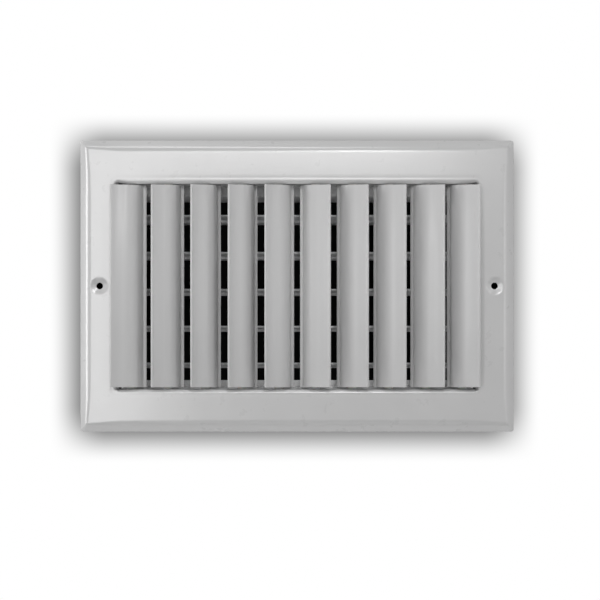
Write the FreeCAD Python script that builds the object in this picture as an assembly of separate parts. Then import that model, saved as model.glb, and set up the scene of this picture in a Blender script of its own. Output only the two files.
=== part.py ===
"""Two-way air register, nominal 10 by 6 inch, for a wall or ceiling duct.

A stamped face frame carries ten curved vertical louvres, five to each side, each on its own
pair of pins, and a multi-shutter damper of five linked blades in a housing behind them.

Frame: X to the right, Y into the duct, Z up, seen from the room. The origin lies midway between
the two screw holes, at the front of their seats. Millimetres.
"""
import FreeCAD
import Part
import math
import os

# The opening, wide enough for the louvres. The face, the screws and the damper follow from it.
LOUVRE_PITCH = 25.4
LOUVRES_PER_HALF = 5
LOUVRE_END_ROOM = 9.1    # outermost pivot to the edge of the opening
OPENING_HEIGHT = 141.6

# Face frame: one stamped sheet with a bevelled rim and a rolled, flanged opening.
FACE_SIDE = 25.85        # edge of the opening to the outline, left and right
FACE_END = 29.5          # the same above and below
FACE_SHEET = 1.0
RIM_DEPTH = 6.5          # front of the face to the wall
RIM_WIDTH = 9.0          # bevel and shoulder, seen from the front
RIM_SLOPE = 45.0
CORNER_RADIUS = 1.6      # outline corners of the rim
ROLL_RADIUS = 2.5        # rolled edge of the opening
FLANGE_DEPTH = 28.0      # front of the face to the back edge of the return flange
CORNER_RELIEF = 3.0      # notch where two return flanges meet
RELIEF_SETBACK = 8.0     # front of the face to the start of the notch

# Screw holes, each in a countersunk dimple.
SCREW_SIDE = 11.55       # edge of the opening to the hole
SCREW_HOLE_RADIUS = 2.3
DIMPLE_RADIUS = 5.9
SEAT_DEPTH = 1.5

# Louvre section: a flat, a curve, a short tail and a turned lip, with a pin boss behind.
LOUVRE_SHEET = 1.2
LOUVRE_FLAT = 8.0
LOUVRE_CURVE_RADIUS = 14.0
LOUVRE_CURVE_ANGLE = 62.0
LOUVRE_TAIL = 2.0
LOUVRE_LIP = 2.2
LOUVRE_LIP_ANGLE = 10.0
LOUVRE_LIP_BEND = 0.9
TIP_BEAD_RADIUS = 0.95
STEM_SHEET = 1.0
STEM_ROOT_ANGLE = 48.0   # where along the curve the stem stands
BOSS_WALL = 0.8          # square boss round the pin bore
PIVOT_ALONG = 13.25      # tip to pivot, along the flat
PIVOT_BEHIND = 13.1      # flat to pivot
PIVOT_SETBACK = 10.0     # front of the face to the pivots
HOLE_SIDES = 8           # running holes and rivets are drawn with flats, to keep them light
# How far each louvre is turned from the face, measured along its chord, left to right.
LOUVRE_REST_ANGLES = (29.2, 39.6, 44.4, 43.6, 41.5, 38.0, 37.0, 36.7, 33.9, 39.3)

# Louvre pins and their bushings.
PIN_RADIUS = 1.5
PIN_GRIP = 8.0           # length pressed into the boss
PIN_TAIL = 0.8           # beyond the bushing
RUNNING_CLEARANCE = 0.06
BUSHING_COLLAR_HALF = 3.0     # centre to a flat of the collar
BUSHING_COLLAR = 1.2
BUSHING_WALL = 0.9
BUSHING_TAIL = 1.4       # shank beyond the sheet it sits in
LOUVRE_SEAT_GAP = 0.1    # louvre foot above its collar
LOUVRE_HEAD_GAP = 1.1    # louvre top below its collar

# Damper housing: two channels between two side plates.
HOUSING_SHEET = 0.9
HOUSING_DEPTH = 36.5     # back edge of the return flange to the back of the housing
HOUSING_BEND = 1.0       # bend radius on the centre line
BOTTOM_LIP = 6.0
TAB_LENGTH = 13.0
TAB_WIDTH = 29.0
TONGUE_LENGTH = 16.5     # side plate along the return flange
TONGUE_MARGIN = 13.0     # return flange left bare above and below the tongue
TOP_RIVET_SETBACK = 53.5     # front of the face to the channel rivets
BOTTOM_RIVET_SETBACK = 36.5
FRAME_RIVET_SETBACK = 19.5
FRAME_RIVET_END = 32.8   # edge of the opening to the rivets, above and below
TAB_RIVET_INSET = 6.0
RIVET_HALF = 1.6
RIVET_HEAD_HALF = 3.0
RIVET_HEAD = 0.8

# Damper blades and their linkage.
DAMPER_COUNT = 5
DAMPER_SHORT = 4.8       # opening height less the height between the channels
DAMPER_SETBACK = 44.9    # front of the face to the blade pivots
DAMPER_DROP = 4.46       # middle blade below the centre of the face
BLADE_OVERLAP = 2.9      # blade over blade when closed
BLADE_SHEET = 0.8
BLADE_HEM = 4.5
BLADE_TILT = 7.0         # front edge up, as stored
BLADE_EDGE_CLEARANCE = 0.7
TUBE_WALL = 0.9
ROD_TAIL = 1.2
END_FLOAT = 0.3          # tube end to the side plate
LINKAGE_ROOM = 7.6       # blade sheet stops this far short of the tube on the right
CRANK_RADIUS = 14.0
CRANK_ANGLE = 40.0       # crank pin above the rear half of the blade
EAR_FOOT = 4.5           # start of the ear behind the pivot
EAR_RADIUS = 3.2
LEVER_SHEET = 1.2
LEVER_WIDTH = 8.0
LEVER_REACH = 21.5
FINGER_TAB = 8.0
FINGER_TAB_WIDTH = 6.0
LINK_SHEET = 1.2
LINK_WIDTH = 7.0
LINK_END = 4.5
LINK_SIDE_GAP = 0.2      # ear to link bar, and link bar to lever or pin head
LINK_HOLE_CLEARANCE = 0.15
CRANK_HEAD_HALF = 2.6
CRANK_HEAD = 0.8

# Places worked out from the sizes above.
OPENING_WIDTH = 2 * (LOUVRE_PITCH * (LOUVRES_PER_HALF - 0.5) + LOUVRE_END_ROOM)
FACE_WIDTH = OPENING_WIDTH + 2 * FACE_SIDE
FACE_HEIGHT = OPENING_HEIGHT + 2 * FACE_END
SCREW_SPACING = OPENING_WIDTH + 2 * SCREW_SIDE
FRAME_RIVET_SPACING = OPENING_HEIGHT - 2 * FRAME_RIVET_END
DAMPER_HEIGHT = OPENING_HEIGHT - DAMPER_SHORT
DAMPER_PITCH = (DAMPER_HEIGHT - 2 * BLADE_EDGE_CLEARANCE - BLADE_OVERLAP) / DAMPER_COUNT
BLADE_CHORD = DAMPER_PITCH + BLADE_OVERLAP
FACE_Y = -SEAT_DEPTH
WALL_Y = FACE_Y + RIM_DEPTH
FLANGE_BACK_Y = FACE_Y + FLANGE_DEPTH
HOUSING_BACK_Y = FLANGE_BACK_Y + HOUSING_DEPTH
PIVOT_Y = FACE_Y + PIVOT_SETBACK
DAMPER_Y = FACE_Y + DAMPER_SETBACK
OPEN_X = OPENING_WIDTH / 2
OPEN_Z = OPENING_HEIGHT / 2
PLATE_X = OPEN_X + FACE_SHEET
BORE_RADIUS = PIN_RADIUS + RUNNING_CLEARANCE
SHANK_HALF = BORE_RADIUS + BUSHING_WALL
BOSS_HALF = PIN_RADIUS + BOSS_WALL
TUBE_RADIUS = PIN_RADIUS + TUBE_WALL
LOUVRE_FOOT_Z = -OPEN_Z + BUSHING_COLLAR + LOUVRE_SEAT_GAP
LOUVRE_TOP_Z = OPEN_Z - BUSHING_COLLAR - LOUVRE_HEAD_GAP
TUBE_END_X = PLATE_X - END_FLOAT
BLADE_RIGHT_X = TUBE_END_X - LINKAGE_ROOM
LINK_X = BLADE_RIGHT_X + LINK_SIDE_GAP
LEVER_X = LINK_X + LINK_SHEET + LINK_SIDE_GAP
DAMPER_TOP_Z = -DAMPER_DROP + DAMPER_PITCH * (DAMPER_COUNT - 1) / 2
DAMPER_ZS = [DAMPER_TOP_Z - DAMPER_PITCH * i for i in range(DAMPER_COUNT)]
TOP_WEB_Z = DAMPER_ZS[0] + BLADE_CHORD / 2 + BLADE_EDGE_CLEARANCE
BOTTOM_WEB_Z = DAMPER_ZS[-1] - BLADE_CHORD / 2 - BLADE_EDGE_CLEARANCE
LEVER_BLADE = DAMPER_COUNT // 2

X_AXIS = FreeCAD.Vector(1, 0, 0)
Y_AXIS = FreeCAD.Vector(0, 1, 0)
Z_AXIS = FreeCAD.Vector(0, 0, 1)


# ---- helpers ----

def direction(angle):
    """Unit step (a, b) at an angle in degrees."""
    return math.cos(math.radians(angle)), math.sin(math.radians(angle))


def box(low, high):
    """Box between two corners."""
    size = [b - a for a, b in zip(low, high)]
    return Part.makeBox(size[0], size[1], size[2], FreeCAD.Vector(*low))


def cylinder(radius, start, end):
    """Cylinder of a radius from one point to another."""
    start, end = FreeCAD.Vector(*start), FreeCAD.Vector(*end)
    return Part.makeCylinder(radius, (end - start).Length, start, end - start)


def disc(radius, at, length):
    """Cylinder that runs to the right from a point."""
    return cylinder(radius, at, FreeCAD.Vector(*at) + X_AXIS * length)


def prism(half_width, start, end, sides=HOLE_SIDES):
    """Regular prism from one point to another, half_width from its axis to its flats."""
    start, end = FreeCAD.Vector(*start), FreeCAD.Vector(*end)
    along = end - start
    first = along.cross(Y_AXIS if abs(along.y) < along.Length / 2 else X_AXIS).normalize()
    second = along.cross(first).normalize()
    radius = half_width / math.cos(math.pi / sides)
    corners = []
    for i in range(sides + 1):
        turn = (2 * i + 1) * math.pi / sides
        corners.append(start + (first * math.cos(turn) + second * math.sin(turn)) * radius)
    return Part.Face(Part.makePolygon(corners)).extrude(along)


def fused(first, *others):
    """One clean solid from pieces that touch or overlap."""
    return first.fuse(list(others)).removeSplitter()


def bent_strip(points, radii, thickness, place):
    """Closed wire of a sheet seen on edge.

    points are the corners of its centre line, radii the bend at each inner corner, and place
    turns a flat (a, b) into a vector.
    """
    def side(offset):
        edges = []
        last = None
        for i, (a, b) in enumerate(points):
            before, after = leg(i - 1), leg(i)
            ends = [d for d in (before, after) if d]
            if len(ends) == 1:
                stop = (a - ends[0][1] * offset, b + ends[0][0] * offset)
                if last:
                    edges.append(Part.makeLine(place(*last), place(*stop)))
                last = stop
                continue
            turn = math.atan2(before[0] * after[1] - before[1] * after[0],
                              before[0] * after[0] + before[1] * after[1])
            hand = math.copysign(1, turn)
            radius = radii[i - 1]
            reach = radius * math.tan(abs(turn) / 2)
            centre = (a - before[0] * reach - before[1] * hand * radius,
                      b - before[1] * reach + before[0] * hand * radius)
            swing = radius - hand * offset
            on_arc = []
            for part in (0, 0.5, 1):
                heading = math.atan2(before[1], before[0]) + turn * part
                on_arc.append((centre[0] + math.sin(heading) * hand * swing,
                               centre[1] - math.cos(heading) * hand * swing))
            edges.append(Part.makeLine(place(*last), place(*on_arc[0])))
            edges.append(Part.Arc(*[place(*p) for p in on_arc]).toShape())
            last = on_arc[2]
        return edges

    def leg(i):
        if not 0 <= i < len(points) - 1:
            return None
        da, db = points[i + 1][0] - points[i][0], points[i + 1][1] - points[i][1]
        length = math.hypot(da, db)
        return da / length, db / length

    left, right = side(thickness / 2), side(-thickness / 2)
    caps = [Part.makeLine(left[0].Vertexes[0].Point, right[0].Vertexes[0].Point),
            Part.makeLine(left[-1].Vertexes[-1].Point, right[-1].Vertexes[-1].Point)]
    return Part.Wire(Part.__sortEdges__(left + right + caps))


def outline(points, place):
    """Face inside a closed polygon of flat points."""
    return Part.Face(Part.makePolygon([place(*p) for p in list(points) + [points[0]]]))


def ring_sweep(width, height, wire):
    """Carry a section round a rectangle, with mitred corners."""
    x, z = width / 2, height / 2
    corners = [(0, -z), (x, -z), (x, z), (-x, z), (-x, -z), (0, -z)]
    path = Part.makePolygon([FreeCAD.Vector(a, 0, b) for a, b in corners])
    sweep = Part.BRepOffsetAPI.MakePipeShell(path)
    sweep.setTransitionMode(1)
    sweep.add(wire)
    sweep.build()
    sweep.makeSolid()
    return sweep.shape()


# ---- face frame ----

def rim_ring():
    """Bevelled rim: a slope up from the wall and a rounded shoulder into the flat."""
    rise, run = direction(RIM_SLOPE)[1], direction(RIM_SLOPE)[0]
    # The bevel's two tangents meet where the slope crosses the plane of the face.
    crossing = RIM_DEPTH * run / rise
    tangent = RIM_WIDTH - crossing
    radius = tangent / math.tan(math.radians(RIM_SLOPE / 2))
    half = FACE_SHEET / 2
    inset = half * math.tan(math.radians(RIM_SLOPE / 2))
    start = (crossing + inset - (RIM_DEPTH + 2 * FACE_SHEET) * run / rise,
             WALL_Y + 2 * FACE_SHEET + half)
    corner = (crossing + inset, FACE_Y + half)
    end = (RIM_WIDTH + FACE_SHEET, FACE_Y + half)
    wire = bent_strip([start, corner, end], [radius - half], FACE_SHEET,
                      lambda d, y: FreeCAD.Vector(0, y, d - FACE_HEIGHT / 2))
    ring = ring_sweep(FACE_WIDTH, FACE_HEIGHT, wire)
    room = FACE_WIDTH
    return ring.cut(box((-room, WALL_Y, -room), (room, WALL_Y + room, room)))


def opening_ring():
    """Rolled edge of the opening and the return flange behind it."""
    half = FACE_SHEET / 2
    start = (ROLL_RADIUS + FACE_SHEET, FACE_Y + half)
    wire = bent_strip([start, (half, FACE_Y + half), (half, FLANGE_BACK_Y)],
                      [ROLL_RADIUS - half], FACE_SHEET,
                      lambda d, y: FreeCAD.Vector(0, y, -OPEN_Z - d))
    return ring_sweep(OPENING_WIDTH, OPENING_HEIGHT, wire)


def screw_dimple(x):
    """Dished seat round one screw hole."""
    section = [(DIMPLE_RADIUS, FACE_Y), (SCREW_HOLE_RADIUS, 0), (SCREW_HOLE_RADIUS, FACE_SHEET),
               (DIMPLE_RADIUS, FACE_Y + FACE_SHEET)]
    face = outline(section, lambda r, y: FreeCAD.Vector(x + r, y, 0))
    return face.revolve(FreeCAD.Vector(x, 0, 0), Y_AXIS, 360)


def louvre_xs():
    """Pivot positions across the face, left to right."""
    count = 2 * LOUVRES_PER_HALF
    return [(i - (count - 1) / 2) * LOUVRE_PITCH for i in range(count)]


def face_frame():
    """The stamped face with its rim, flange, screw seats and pivot holes."""
    inset = RIM_WIDTH + FACE_SHEET / 2
    edge = ROLL_RADIUS + FACE_SHEET / 2
    plate = box((-FACE_WIDTH / 2 + inset, FACE_Y, -FACE_HEIGHT / 2 + inset),
                (FACE_WIDTH / 2 - inset, FACE_Y + FACE_SHEET, FACE_HEIGHT / 2 - inset))
    plate = plate.cut(box((-OPEN_X - edge, FACE_Y - 1, -OPEN_Z - edge),
                          (OPEN_X + edge, FACE_Y + FACE_SHEET + 1, OPEN_Z + edge)))
    frame = fused(plate, rim_ring(), opening_ring())
    for side in (-1, 1):
        x = side * SCREW_SPACING / 2
        frame = frame.cut(cylinder(DIMPLE_RADIUS, (x, FACE_Y - 1, 0), (x, 1, 0)))
        frame = fused(frame, screw_dimple(x))
    cuts = [rivet_hole(place) for place in frame_rivet_places()]
    for side in (-1, 1):
        for end in (-1, 1):
            x, z = side * (OPEN_X + FACE_SHEET), end * (OPEN_Z + FACE_SHEET)
            reach = CORNER_RELIEF
            low = (min(x, x - side * reach), FACE_Y + RELIEF_SETBACK, min(z, z - end * reach))
            high = (max(x, x - side * reach), FLANGE_BACK_Y + 1, max(z, z - end * reach))
            cuts.append(box(low, high))
        for x in louvre_xs():
            cuts.append(prism(SHANK_HALF, (x, PIVOT_Y, side * (OPEN_Z - 1)),
                              (x, PIVOT_Y, side * (OPEN_Z + FACE_SHEET + 1)), 4))
    return frame.common(rounded_block()).cut(cuts)


def rounded_block():
    """Outline of the frame with its corners rounded."""
    block = box((-FACE_WIDTH / 2, FACE_Y - 1, -FACE_HEIGHT / 2),
                (FACE_WIDTH / 2, FLANGE_BACK_Y + 1, FACE_HEIGHT / 2))
    corners = [e for e in block.Edges if abs(e.tangentAt(0).y) > 0.9]
    return block.makeFillet(CORNER_RADIUS, corners)


# ---- louvres ----

def louvre_line():
    """Centre line of the louvre section from its tip: points and bend radii."""
    half = LOUVRE_SHEET / 2
    radius = LOUVRE_CURVE_RADIUS - half
    reach = radius * math.tan(math.radians(LOUVRE_CURVE_ANGLE / 2))
    steep = direction(LOUVRE_CURVE_ANGLE)
    lip = direction(LOUVRE_LIP_ANGLE)
    start = (0, half)
    bend = (LOUVRE_FLAT + reach, half)
    tail = (bend[0] + steep[0] * (reach + LOUVRE_TAIL), bend[1] + steep[1] * (reach + LOUVRE_TAIL))
    end = (tail[0] + lip[0] * LOUVRE_LIP, tail[1] + lip[1] * LOUVRE_LIP)
    return [start, bend, tail, end], [radius, LOUVRE_LIP_BEND]


def louvre_chord_angle():
    """Angle between the flat and the chord, tip to lip."""
    points = louvre_line()[0]
    return math.degrees(math.atan2(points[-1][1] - points[0][1], points[-1][0] - points[0][0]))


def louvre(index):
    """One extruded louvre, turned to where it was left."""
    hand = 1 if index < LOUVRES_PER_HALF else -1
    turned = direction(LOUVRE_REST_ANGLES[index] - louvre_chord_angle())
    x = louvre_xs()[index]

    def place(u, w):
        u, w = u - PIVOT_ALONG, w - PIVOT_BEHIND
        return FreeCAD.Vector(x + hand * (u * turned[0] - w * turned[1]),
                              PIVOT_Y + u * turned[1] + w * turned[0], LOUVRE_FOOT_Z)

    length = Z_AXIS * (LOUVRE_TOP_Z - LOUVRE_FOOT_Z)
    points, radii = louvre_line()
    blade = Part.Face(bent_strip(points, radii, LOUVRE_SHEET, place)).extrude(length)

    # The stem runs from the back of the curve to a boss with a square port for the pins.
    root = direction(STEM_ROOT_ANGLE)
    inner = LOUVRE_CURVE_RADIUS - LOUVRE_SHEET / 2
    foot = (LOUVRE_FLAT + root[1] * inner, LOUVRE_CURVE_RADIUS - root[0] * inner)
    run = (PIVOT_ALONG - foot[0], PIVOT_BEHIND - foot[1])
    reach = math.hypot(*run)
    along = (run[0] / reach, run[1] / reach)

    def beside(far, wide):
        return (PIVOT_ALONG + along[0] * far - along[1] * wide,
                PIVOT_BEHIND + along[1] * far + along[0] * wide)

    half = STEM_SHEET / 2
    stem = outline([beside(-reach, -half), beside(-BOSS_HALF, -half), beside(-BOSS_HALF, -BOSS_HALF),
                    beside(BOSS_HALF, -BOSS_HALF), beside(BOSS_HALF, BOSS_HALF),
                    beside(-BOSS_HALF, BOSS_HALF), beside(-BOSS_HALF, half), beside(-reach, half)],
                   place).extrude(length)
    port = outline([beside(a * PIN_RADIUS, b * PIN_RADIUS)
                    for a, b in ((-1, -1), (1, -1), (1, 1), (-1, 1))], place).extrude(length)
    tip = place(0, LOUVRE_SHEET / 2)
    return fused(blade, prism(TIP_BEAD_RADIUS, tip, tip + length, 8), stem).cut(port)


def louvre_pins(x):
    """Top and bottom pin of one louvre."""
    tail = OPEN_Z + FACE_SHEET + BUSHING_TAIL + PIN_TAIL
    return Part.makeCompound([
        cylinder(PIN_RADIUS, (x, PIVOT_Y, LOUVRE_TOP_Z - PIN_GRIP), (x, PIVOT_Y, tail)),
        cylinder(PIN_RADIUS, (x, PIVOT_Y, -tail), (x, PIVOT_Y, LOUVRE_FOOT_Z + PIN_GRIP))])


def louvre_bushing(x, end):
    """Nylon bushing: an eight-sided collar under the louvre and a square shank in the flange."""
    inner = (x, PIVOT_Y, end * (OPEN_Z - BUSHING_COLLAR))
    seat = (x, PIVOT_Y, end * OPEN_Z)
    outer = (x, PIVOT_Y, end * (OPEN_Z + FACE_SHEET + BUSHING_TAIL))
    body = fused(prism(BUSHING_COLLAR_HALF, inner, seat, 8), prism(SHANK_HALF, seat, outer, 4))
    return body.cut(prism(BORE_RADIUS, inner, outer))


def louvre_bushings(end):
    """Row of bushings in the top (1) or bottom (-1) flange."""
    return Part.makeCompound([louvre_bushing(x, end) for x in louvre_xs()])


# ---- damper housing ----

def channel(points, radii):
    """Folded channel between the side plates, clear of the bends of their tabs."""
    end = PLATE_X - (HOUSING_BEND - HOUSING_SHEET / 2)
    wire = bent_strip(points, radii, HOUSING_SHEET, lambda y, z: FreeCAD.Vector(-end, y, z))
    return Part.Face(wire).extrude(X_AXIS * 2 * end)


def channel_line(web_z, lip_z):
    """Centre line of a channel: front lip, web, rear lip."""
    half = HOUSING_SHEET / 2
    front, back = FLANGE_BACK_Y + half, HOUSING_BACK_Y - half
    return [(front, lip_z), (front, web_z), (back, web_z), (back, lip_z)]


def top_channel():
    """Upper channel, its lips turned out so that the top blade closes against the web."""
    points = channel_line(TOP_WEB_Z + HOUSING_SHEET / 2, OPEN_Z + FACE_SHEET)
    body = channel(points, [HOUSING_BEND, HOUSING_BEND])
    return body.cut([rivet_hole(r) for r in channel_rivet_places() if r[0][2] > 0])


def bottom_channel():
    """Lower channel, its lips turned in towards the bottom blade."""
    points = channel_line(BOTTOM_WEB_Z - HOUSING_SHEET / 2, BOTTOM_WEB_Z + BOTTOM_LIP)
    body = channel(points, [HOUSING_BEND, HOUSING_BEND])
    return body.cut([rivet_hole(r) for r in channel_rivet_places() if r[0][2] < 0])


def side_plate(side):
    """Side plate with a tongue along the return flange and two riveted tabs."""
    def across(low_x, high_x, ys, zs):
        xs = sorted((side * low_x, side * high_x))
        return box((xs[0], ys[0], zs[0]), (xs[1], ys[1], zs[1]))

    outer = PLATE_X + HOUSING_SHEET
    half = HOUSING_SHEET / 2
    top, bottom = TOP_WEB_Z + HOUSING_SHEET, BOTTOM_WEB_Z - HOUSING_SHEET
    plate = across(PLATE_X, outer, (FLANGE_BACK_Y, HOUSING_BACK_Y), (bottom, top))
    tongue = across(PLATE_X, outer, (FLANGE_BACK_Y - TONGUE_LENGTH, FLANGE_BACK_Y + 1),
                    (-OPEN_Z + TONGUE_MARGIN, OPEN_Z - TONGUE_MARGIN))
    middle = (FLANGE_BACK_Y + HOUSING_BACK_Y) / 2
    folded = bent_strip([(PLATE_X - TAB_LENGTH, top + half), (PLATE_X + half, top + half),
                         (PLATE_X + half, bottom - half), (PLATE_X - TAB_LENGTH, bottom - half)],
                        [HOUSING_BEND, HOUSING_BEND], HOUSING_SHEET,
                        lambda x, z: FreeCAD.Vector(side * x, middle - TAB_WIDTH / 2, z))
    tabs = Part.Face(folded).extrude(Y_AXIS * TAB_WIDTH)
    body = fused(plate, tongue, tabs)
    holes = [rivet_hole(r) for r in channel_rivet_places() + frame_rivet_places()]
    for z in DAMPER_ZS:
        holes.append(prism(BORE_RADIUS, (side * (PLATE_X - 1), DAMPER_Y, z),
                           (side * (outer + 1), DAMPER_Y, z)))
    return body.cut(holes)


def channel_rivet_places():
    """Rivets through each channel web and tab: inner face, way out and grip."""
    grip = 2 * HOUSING_SHEET
    x = PLATE_X - TAB_RIVET_INSET
    places = []
    for side in (-1, 1):
        places.append(((side * x, FACE_Y + TOP_RIVET_SETBACK, TOP_WEB_Z), (0, 0, 1), grip))
        places.append(((side * x, FACE_Y + BOTTOM_RIVET_SETBACK, BOTTOM_WEB_Z), (0, 0, -1), grip))
    return places


def frame_rivet_places():
    """Rivets through the return flange and each side plate."""
    grip = FACE_SHEET + HOUSING_SHEET
    return [((side * OPEN_X, FACE_Y + FRAME_RIVET_SETBACK, end * FRAME_RIVET_SPACING / 2),
             (side, 0, 0), grip) for side in (-1, 1) for end in (-1, 1)]


def rivet_hole(place):
    """Hole for a rivet, a little longer than its grip."""
    at, out, grip = FreeCAD.Vector(*place[0]), FreeCAD.Vector(*place[1]), place[2]
    return prism(RIVET_HALF, at - out, at + out * (grip + 1))


def rivet(place):
    """Rivet with a head on each side of its grip."""
    at, out, grip = FreeCAD.Vector(*place[0]), FreeCAD.Vector(*place[1]), place[2]
    heads = [(at - out * RIVET_HEAD, at), (at + out * grip, at + out * (grip + RIVET_HEAD))]
    return fused(prism(RIVET_HALF, at, at + out * grip),
                 *[prism(RIVET_HEAD_HALF, low, high) for low, high in heads])


def rivets(places):
    """Group of identical rivets."""
    return Part.makeCompound([rivet(p) for p in places])


# ---- damper blades and linkage ----

def on_blade(index, x):
    """Map (v, n), behind and above a blade's pivot along and off its sheet, to a vector."""
    along = direction(-BLADE_TILT)

    def place(v, n):
        return FreeCAD.Vector(x, DAMPER_Y + v * along[0] - n * along[1],
                              DAMPER_ZS[index] + v * along[1] + n * along[0])
    return place


def crank_point():
    """Crank pin centre in blade coordinates."""
    way = direction(CRANK_ANGLE)
    return CRANK_RADIUS * way[0], CRANK_RADIUS * way[1]


def damper_blade(index):
    """Blade sheet with hemmed edges, a rolled tube for its pins and a crank ear."""
    left = on_blade(index, -TUBE_END_X)
    length = X_AXIS * (BLADE_RIGHT_X + TUBE_END_X)
    half, chord = BLADE_SHEET / 2, BLADE_CHORD / 2
    sheet = outline([(-chord, -half), (chord, -half), (chord, half), (-chord, half)],
                    left).extrude(length)
    hems = [outline([(end * chord, -half), (end * (chord - BLADE_HEM), -half),
                     (end * (chord - BLADE_HEM), -half - BLADE_SHEET),
                     (end * chord, -half - BLADE_SHEET)], left).extrude(length) for end in (-1, 1)]
    z = DAMPER_ZS[index]
    ends = (-TUBE_END_X, DAMPER_Y, z), (TUBE_END_X, DAMPER_Y, z)
    ear_place = on_blade(index, BLADE_RIGHT_X - BLADE_SHEET)
    crank = crank_point()
    ear = outline([(EAR_FOOT, 0), (chord, 0), (crank[0] + EAR_RADIUS, crank[1]),
                   (crank[0] - EAR_RADIUS, crank[1])], ear_place).extrude(X_AXIS * BLADE_SHEET)
    body = fused(sheet, *hems, prism(TUBE_RADIUS, *ends, 8), ear,
                 disc(EAR_RADIUS, ear_place(*crank), BLADE_SHEET))
    return body.cut([prism(PIN_RADIUS, *ends, 8), crank_hole(ear_place, BLADE_SHEET)])


def crank_hole(place, sheet):
    """Hole in an ear or in the lever for its crank pin."""
    at = place(*crank_point())
    return prism(PIN_RADIUS, at, at + X_AXIS * sheet)


def damper_rod(index):
    """Rod through a blade's tube, turning in both side plates."""
    z = DAMPER_ZS[index]
    tail = PLATE_X + HOUSING_SHEET + ROD_TAIL
    return cylinder(PIN_RADIUS, (-tail, DAMPER_Y, z), (tail, DAMPER_Y, z))


def crank_pin(index):
    """Rivet from a blade's ear through the link bar, with its head on the link bar or lever."""
    tail = on_blade(index, BLADE_RIGHT_X - BLADE_SHEET)(*crank_point())
    head = on_blade(index, LEVER_X + (LEVER_SHEET if index == LEVER_BLADE else 0))(*crank_point())
    return cylinder(PIN_RADIUS, tail, head).fuse(
        prism(CRANK_HEAD_HALF, head, head + X_AXIS * CRANK_HEAD, 8))


def damper_lever():
    """Lever over the middle blade's tube and crank pin, with a finger tab at its front end."""
    place = on_blade(LEVER_BLADE, LEVER_X)
    way = direction(CRANK_ANGLE)
    half = LEVER_WIDTH / 2

    def corner(along, across):
        return along * way[0] - across * way[1], along * way[1] + across * way[0]

    strip = outline([corner(-LEVER_REACH, -FINGER_TAB_WIDTH / 2), corner(0, -half),
                     corner(CRANK_RADIUS, -EAR_RADIUS), corner(CRANK_RADIUS, EAR_RADIUS),
                     corner(0, half), corner(-LEVER_REACH, FINGER_TAB_WIDTH / 2)],
                    place).extrude(X_AXIS * LEVER_SHEET)
    eye = disc(EAR_RADIUS, place(*crank_point()), LEVER_SHEET)
    tab = outline([corner(-LEVER_REACH, -FINGER_TAB_WIDTH / 2),
                   corner(-LEVER_REACH + LEVER_SHEET, -FINGER_TAB_WIDTH / 2),
                   corner(-LEVER_REACH + LEVER_SHEET, FINGER_TAB_WIDTH / 2),
                   corner(-LEVER_REACH, FINGER_TAB_WIDTH / 2)], place)
    tab = tab.extrude(X_AXIS * -FINGER_TAB)
    body = fused(strip, eye, tab)
    tube = prism(TUBE_RADIUS, place(0, 0), place(0, 0) + X_AXIS * LEVER_SHEET, 8)
    return body.cut([tube, crank_hole(place, LEVER_SHEET)])


def link_bar():
    """Upright strip that joins the five crank pins."""
    pins = [on_blade(i, LINK_X)(*crank_point()) for i in range(DAMPER_COUNT)]
    y, top, bottom = pins[0].y, pins[0].z + LINK_END, pins[-1].z - LINK_END
    bar = box((LINK_X, y - LINK_WIDTH / 2, bottom), (LINK_X + LINK_SHEET, y + LINK_WIDTH / 2, top))
    ends = [e for e in bar.Edges if abs(e.tangentAt(0).x) > 0.9]
    bar = bar.makeFillet(LINK_WIDTH / 2 - 0.2, ends)
    holes = []
    for i, pin in enumerate(pins):
        slack = RUNNING_CLEARANCE if i == LEVER_BLADE else LINK_HOLE_CLEARANCE
        holes.append(prism(PIN_RADIUS + slack, pin, pin + X_AXIS * LINK_SHEET))
    return bar.cut(holes)


# ---- assembly ----

def build():
    """Every piece of the register by node name."""
    nodes = {
        "face_frame": face_frame(),
        "upper_louvre_bushings": louvre_bushings(1),
        "lower_louvre_bushings": louvre_bushings(-1),
        "top_channel": top_channel(),
        "bottom_channel": bottom_channel(),
        "left_side_plate": side_plate(-1),
        "right_side_plate": side_plate(1),
        "frame_rivets": rivets(frame_rivet_places()),
        "channel_rivets": rivets(channel_rivet_places()),
        "damper_lever": damper_lever(),
        "link_bar": link_bar(),
    }
    for i, x in enumerate(louvre_xs()):
        nodes["louvre_%02d" % (i + 1)] = louvre(i)
        nodes["louvre_%02d_pins" % (i + 1)] = louvre_pins(x)
    for i in range(DAMPER_COUNT):
        nodes["damper_blade_%d" % (i + 1)] = damper_blade(i)
        nodes["damper_blade_%d_rod" % (i + 1)] = damper_rod(i)
        nodes["damper_blade_%d_crank_pin" % (i + 1)] = crank_pin(i)
    return nodes


os.makedirs("parts", exist_ok=True)
for name, shape in build().items():
    shape.exportStep("parts/%s.step" % name)
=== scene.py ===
"""Blender model of a two-way air register for a wall duct.

A painted, stamped face carries ten pivoting louvres. Behind it, a housing of galvanised sheet
holds a damper of five linked vanes. Each sub-assembly is a class that builds and dresses its
own pieces. Sizes are in millimetres in the dataclasses and in metres in the meshes.
"""
import logging
import math
from dataclasses import dataclass, field
from enum import Enum
from typing import Dict, List, Optional, Sequence, Tuple

import bmesh
import bpy
from mathutils import Matrix, Vector, noise


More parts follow.
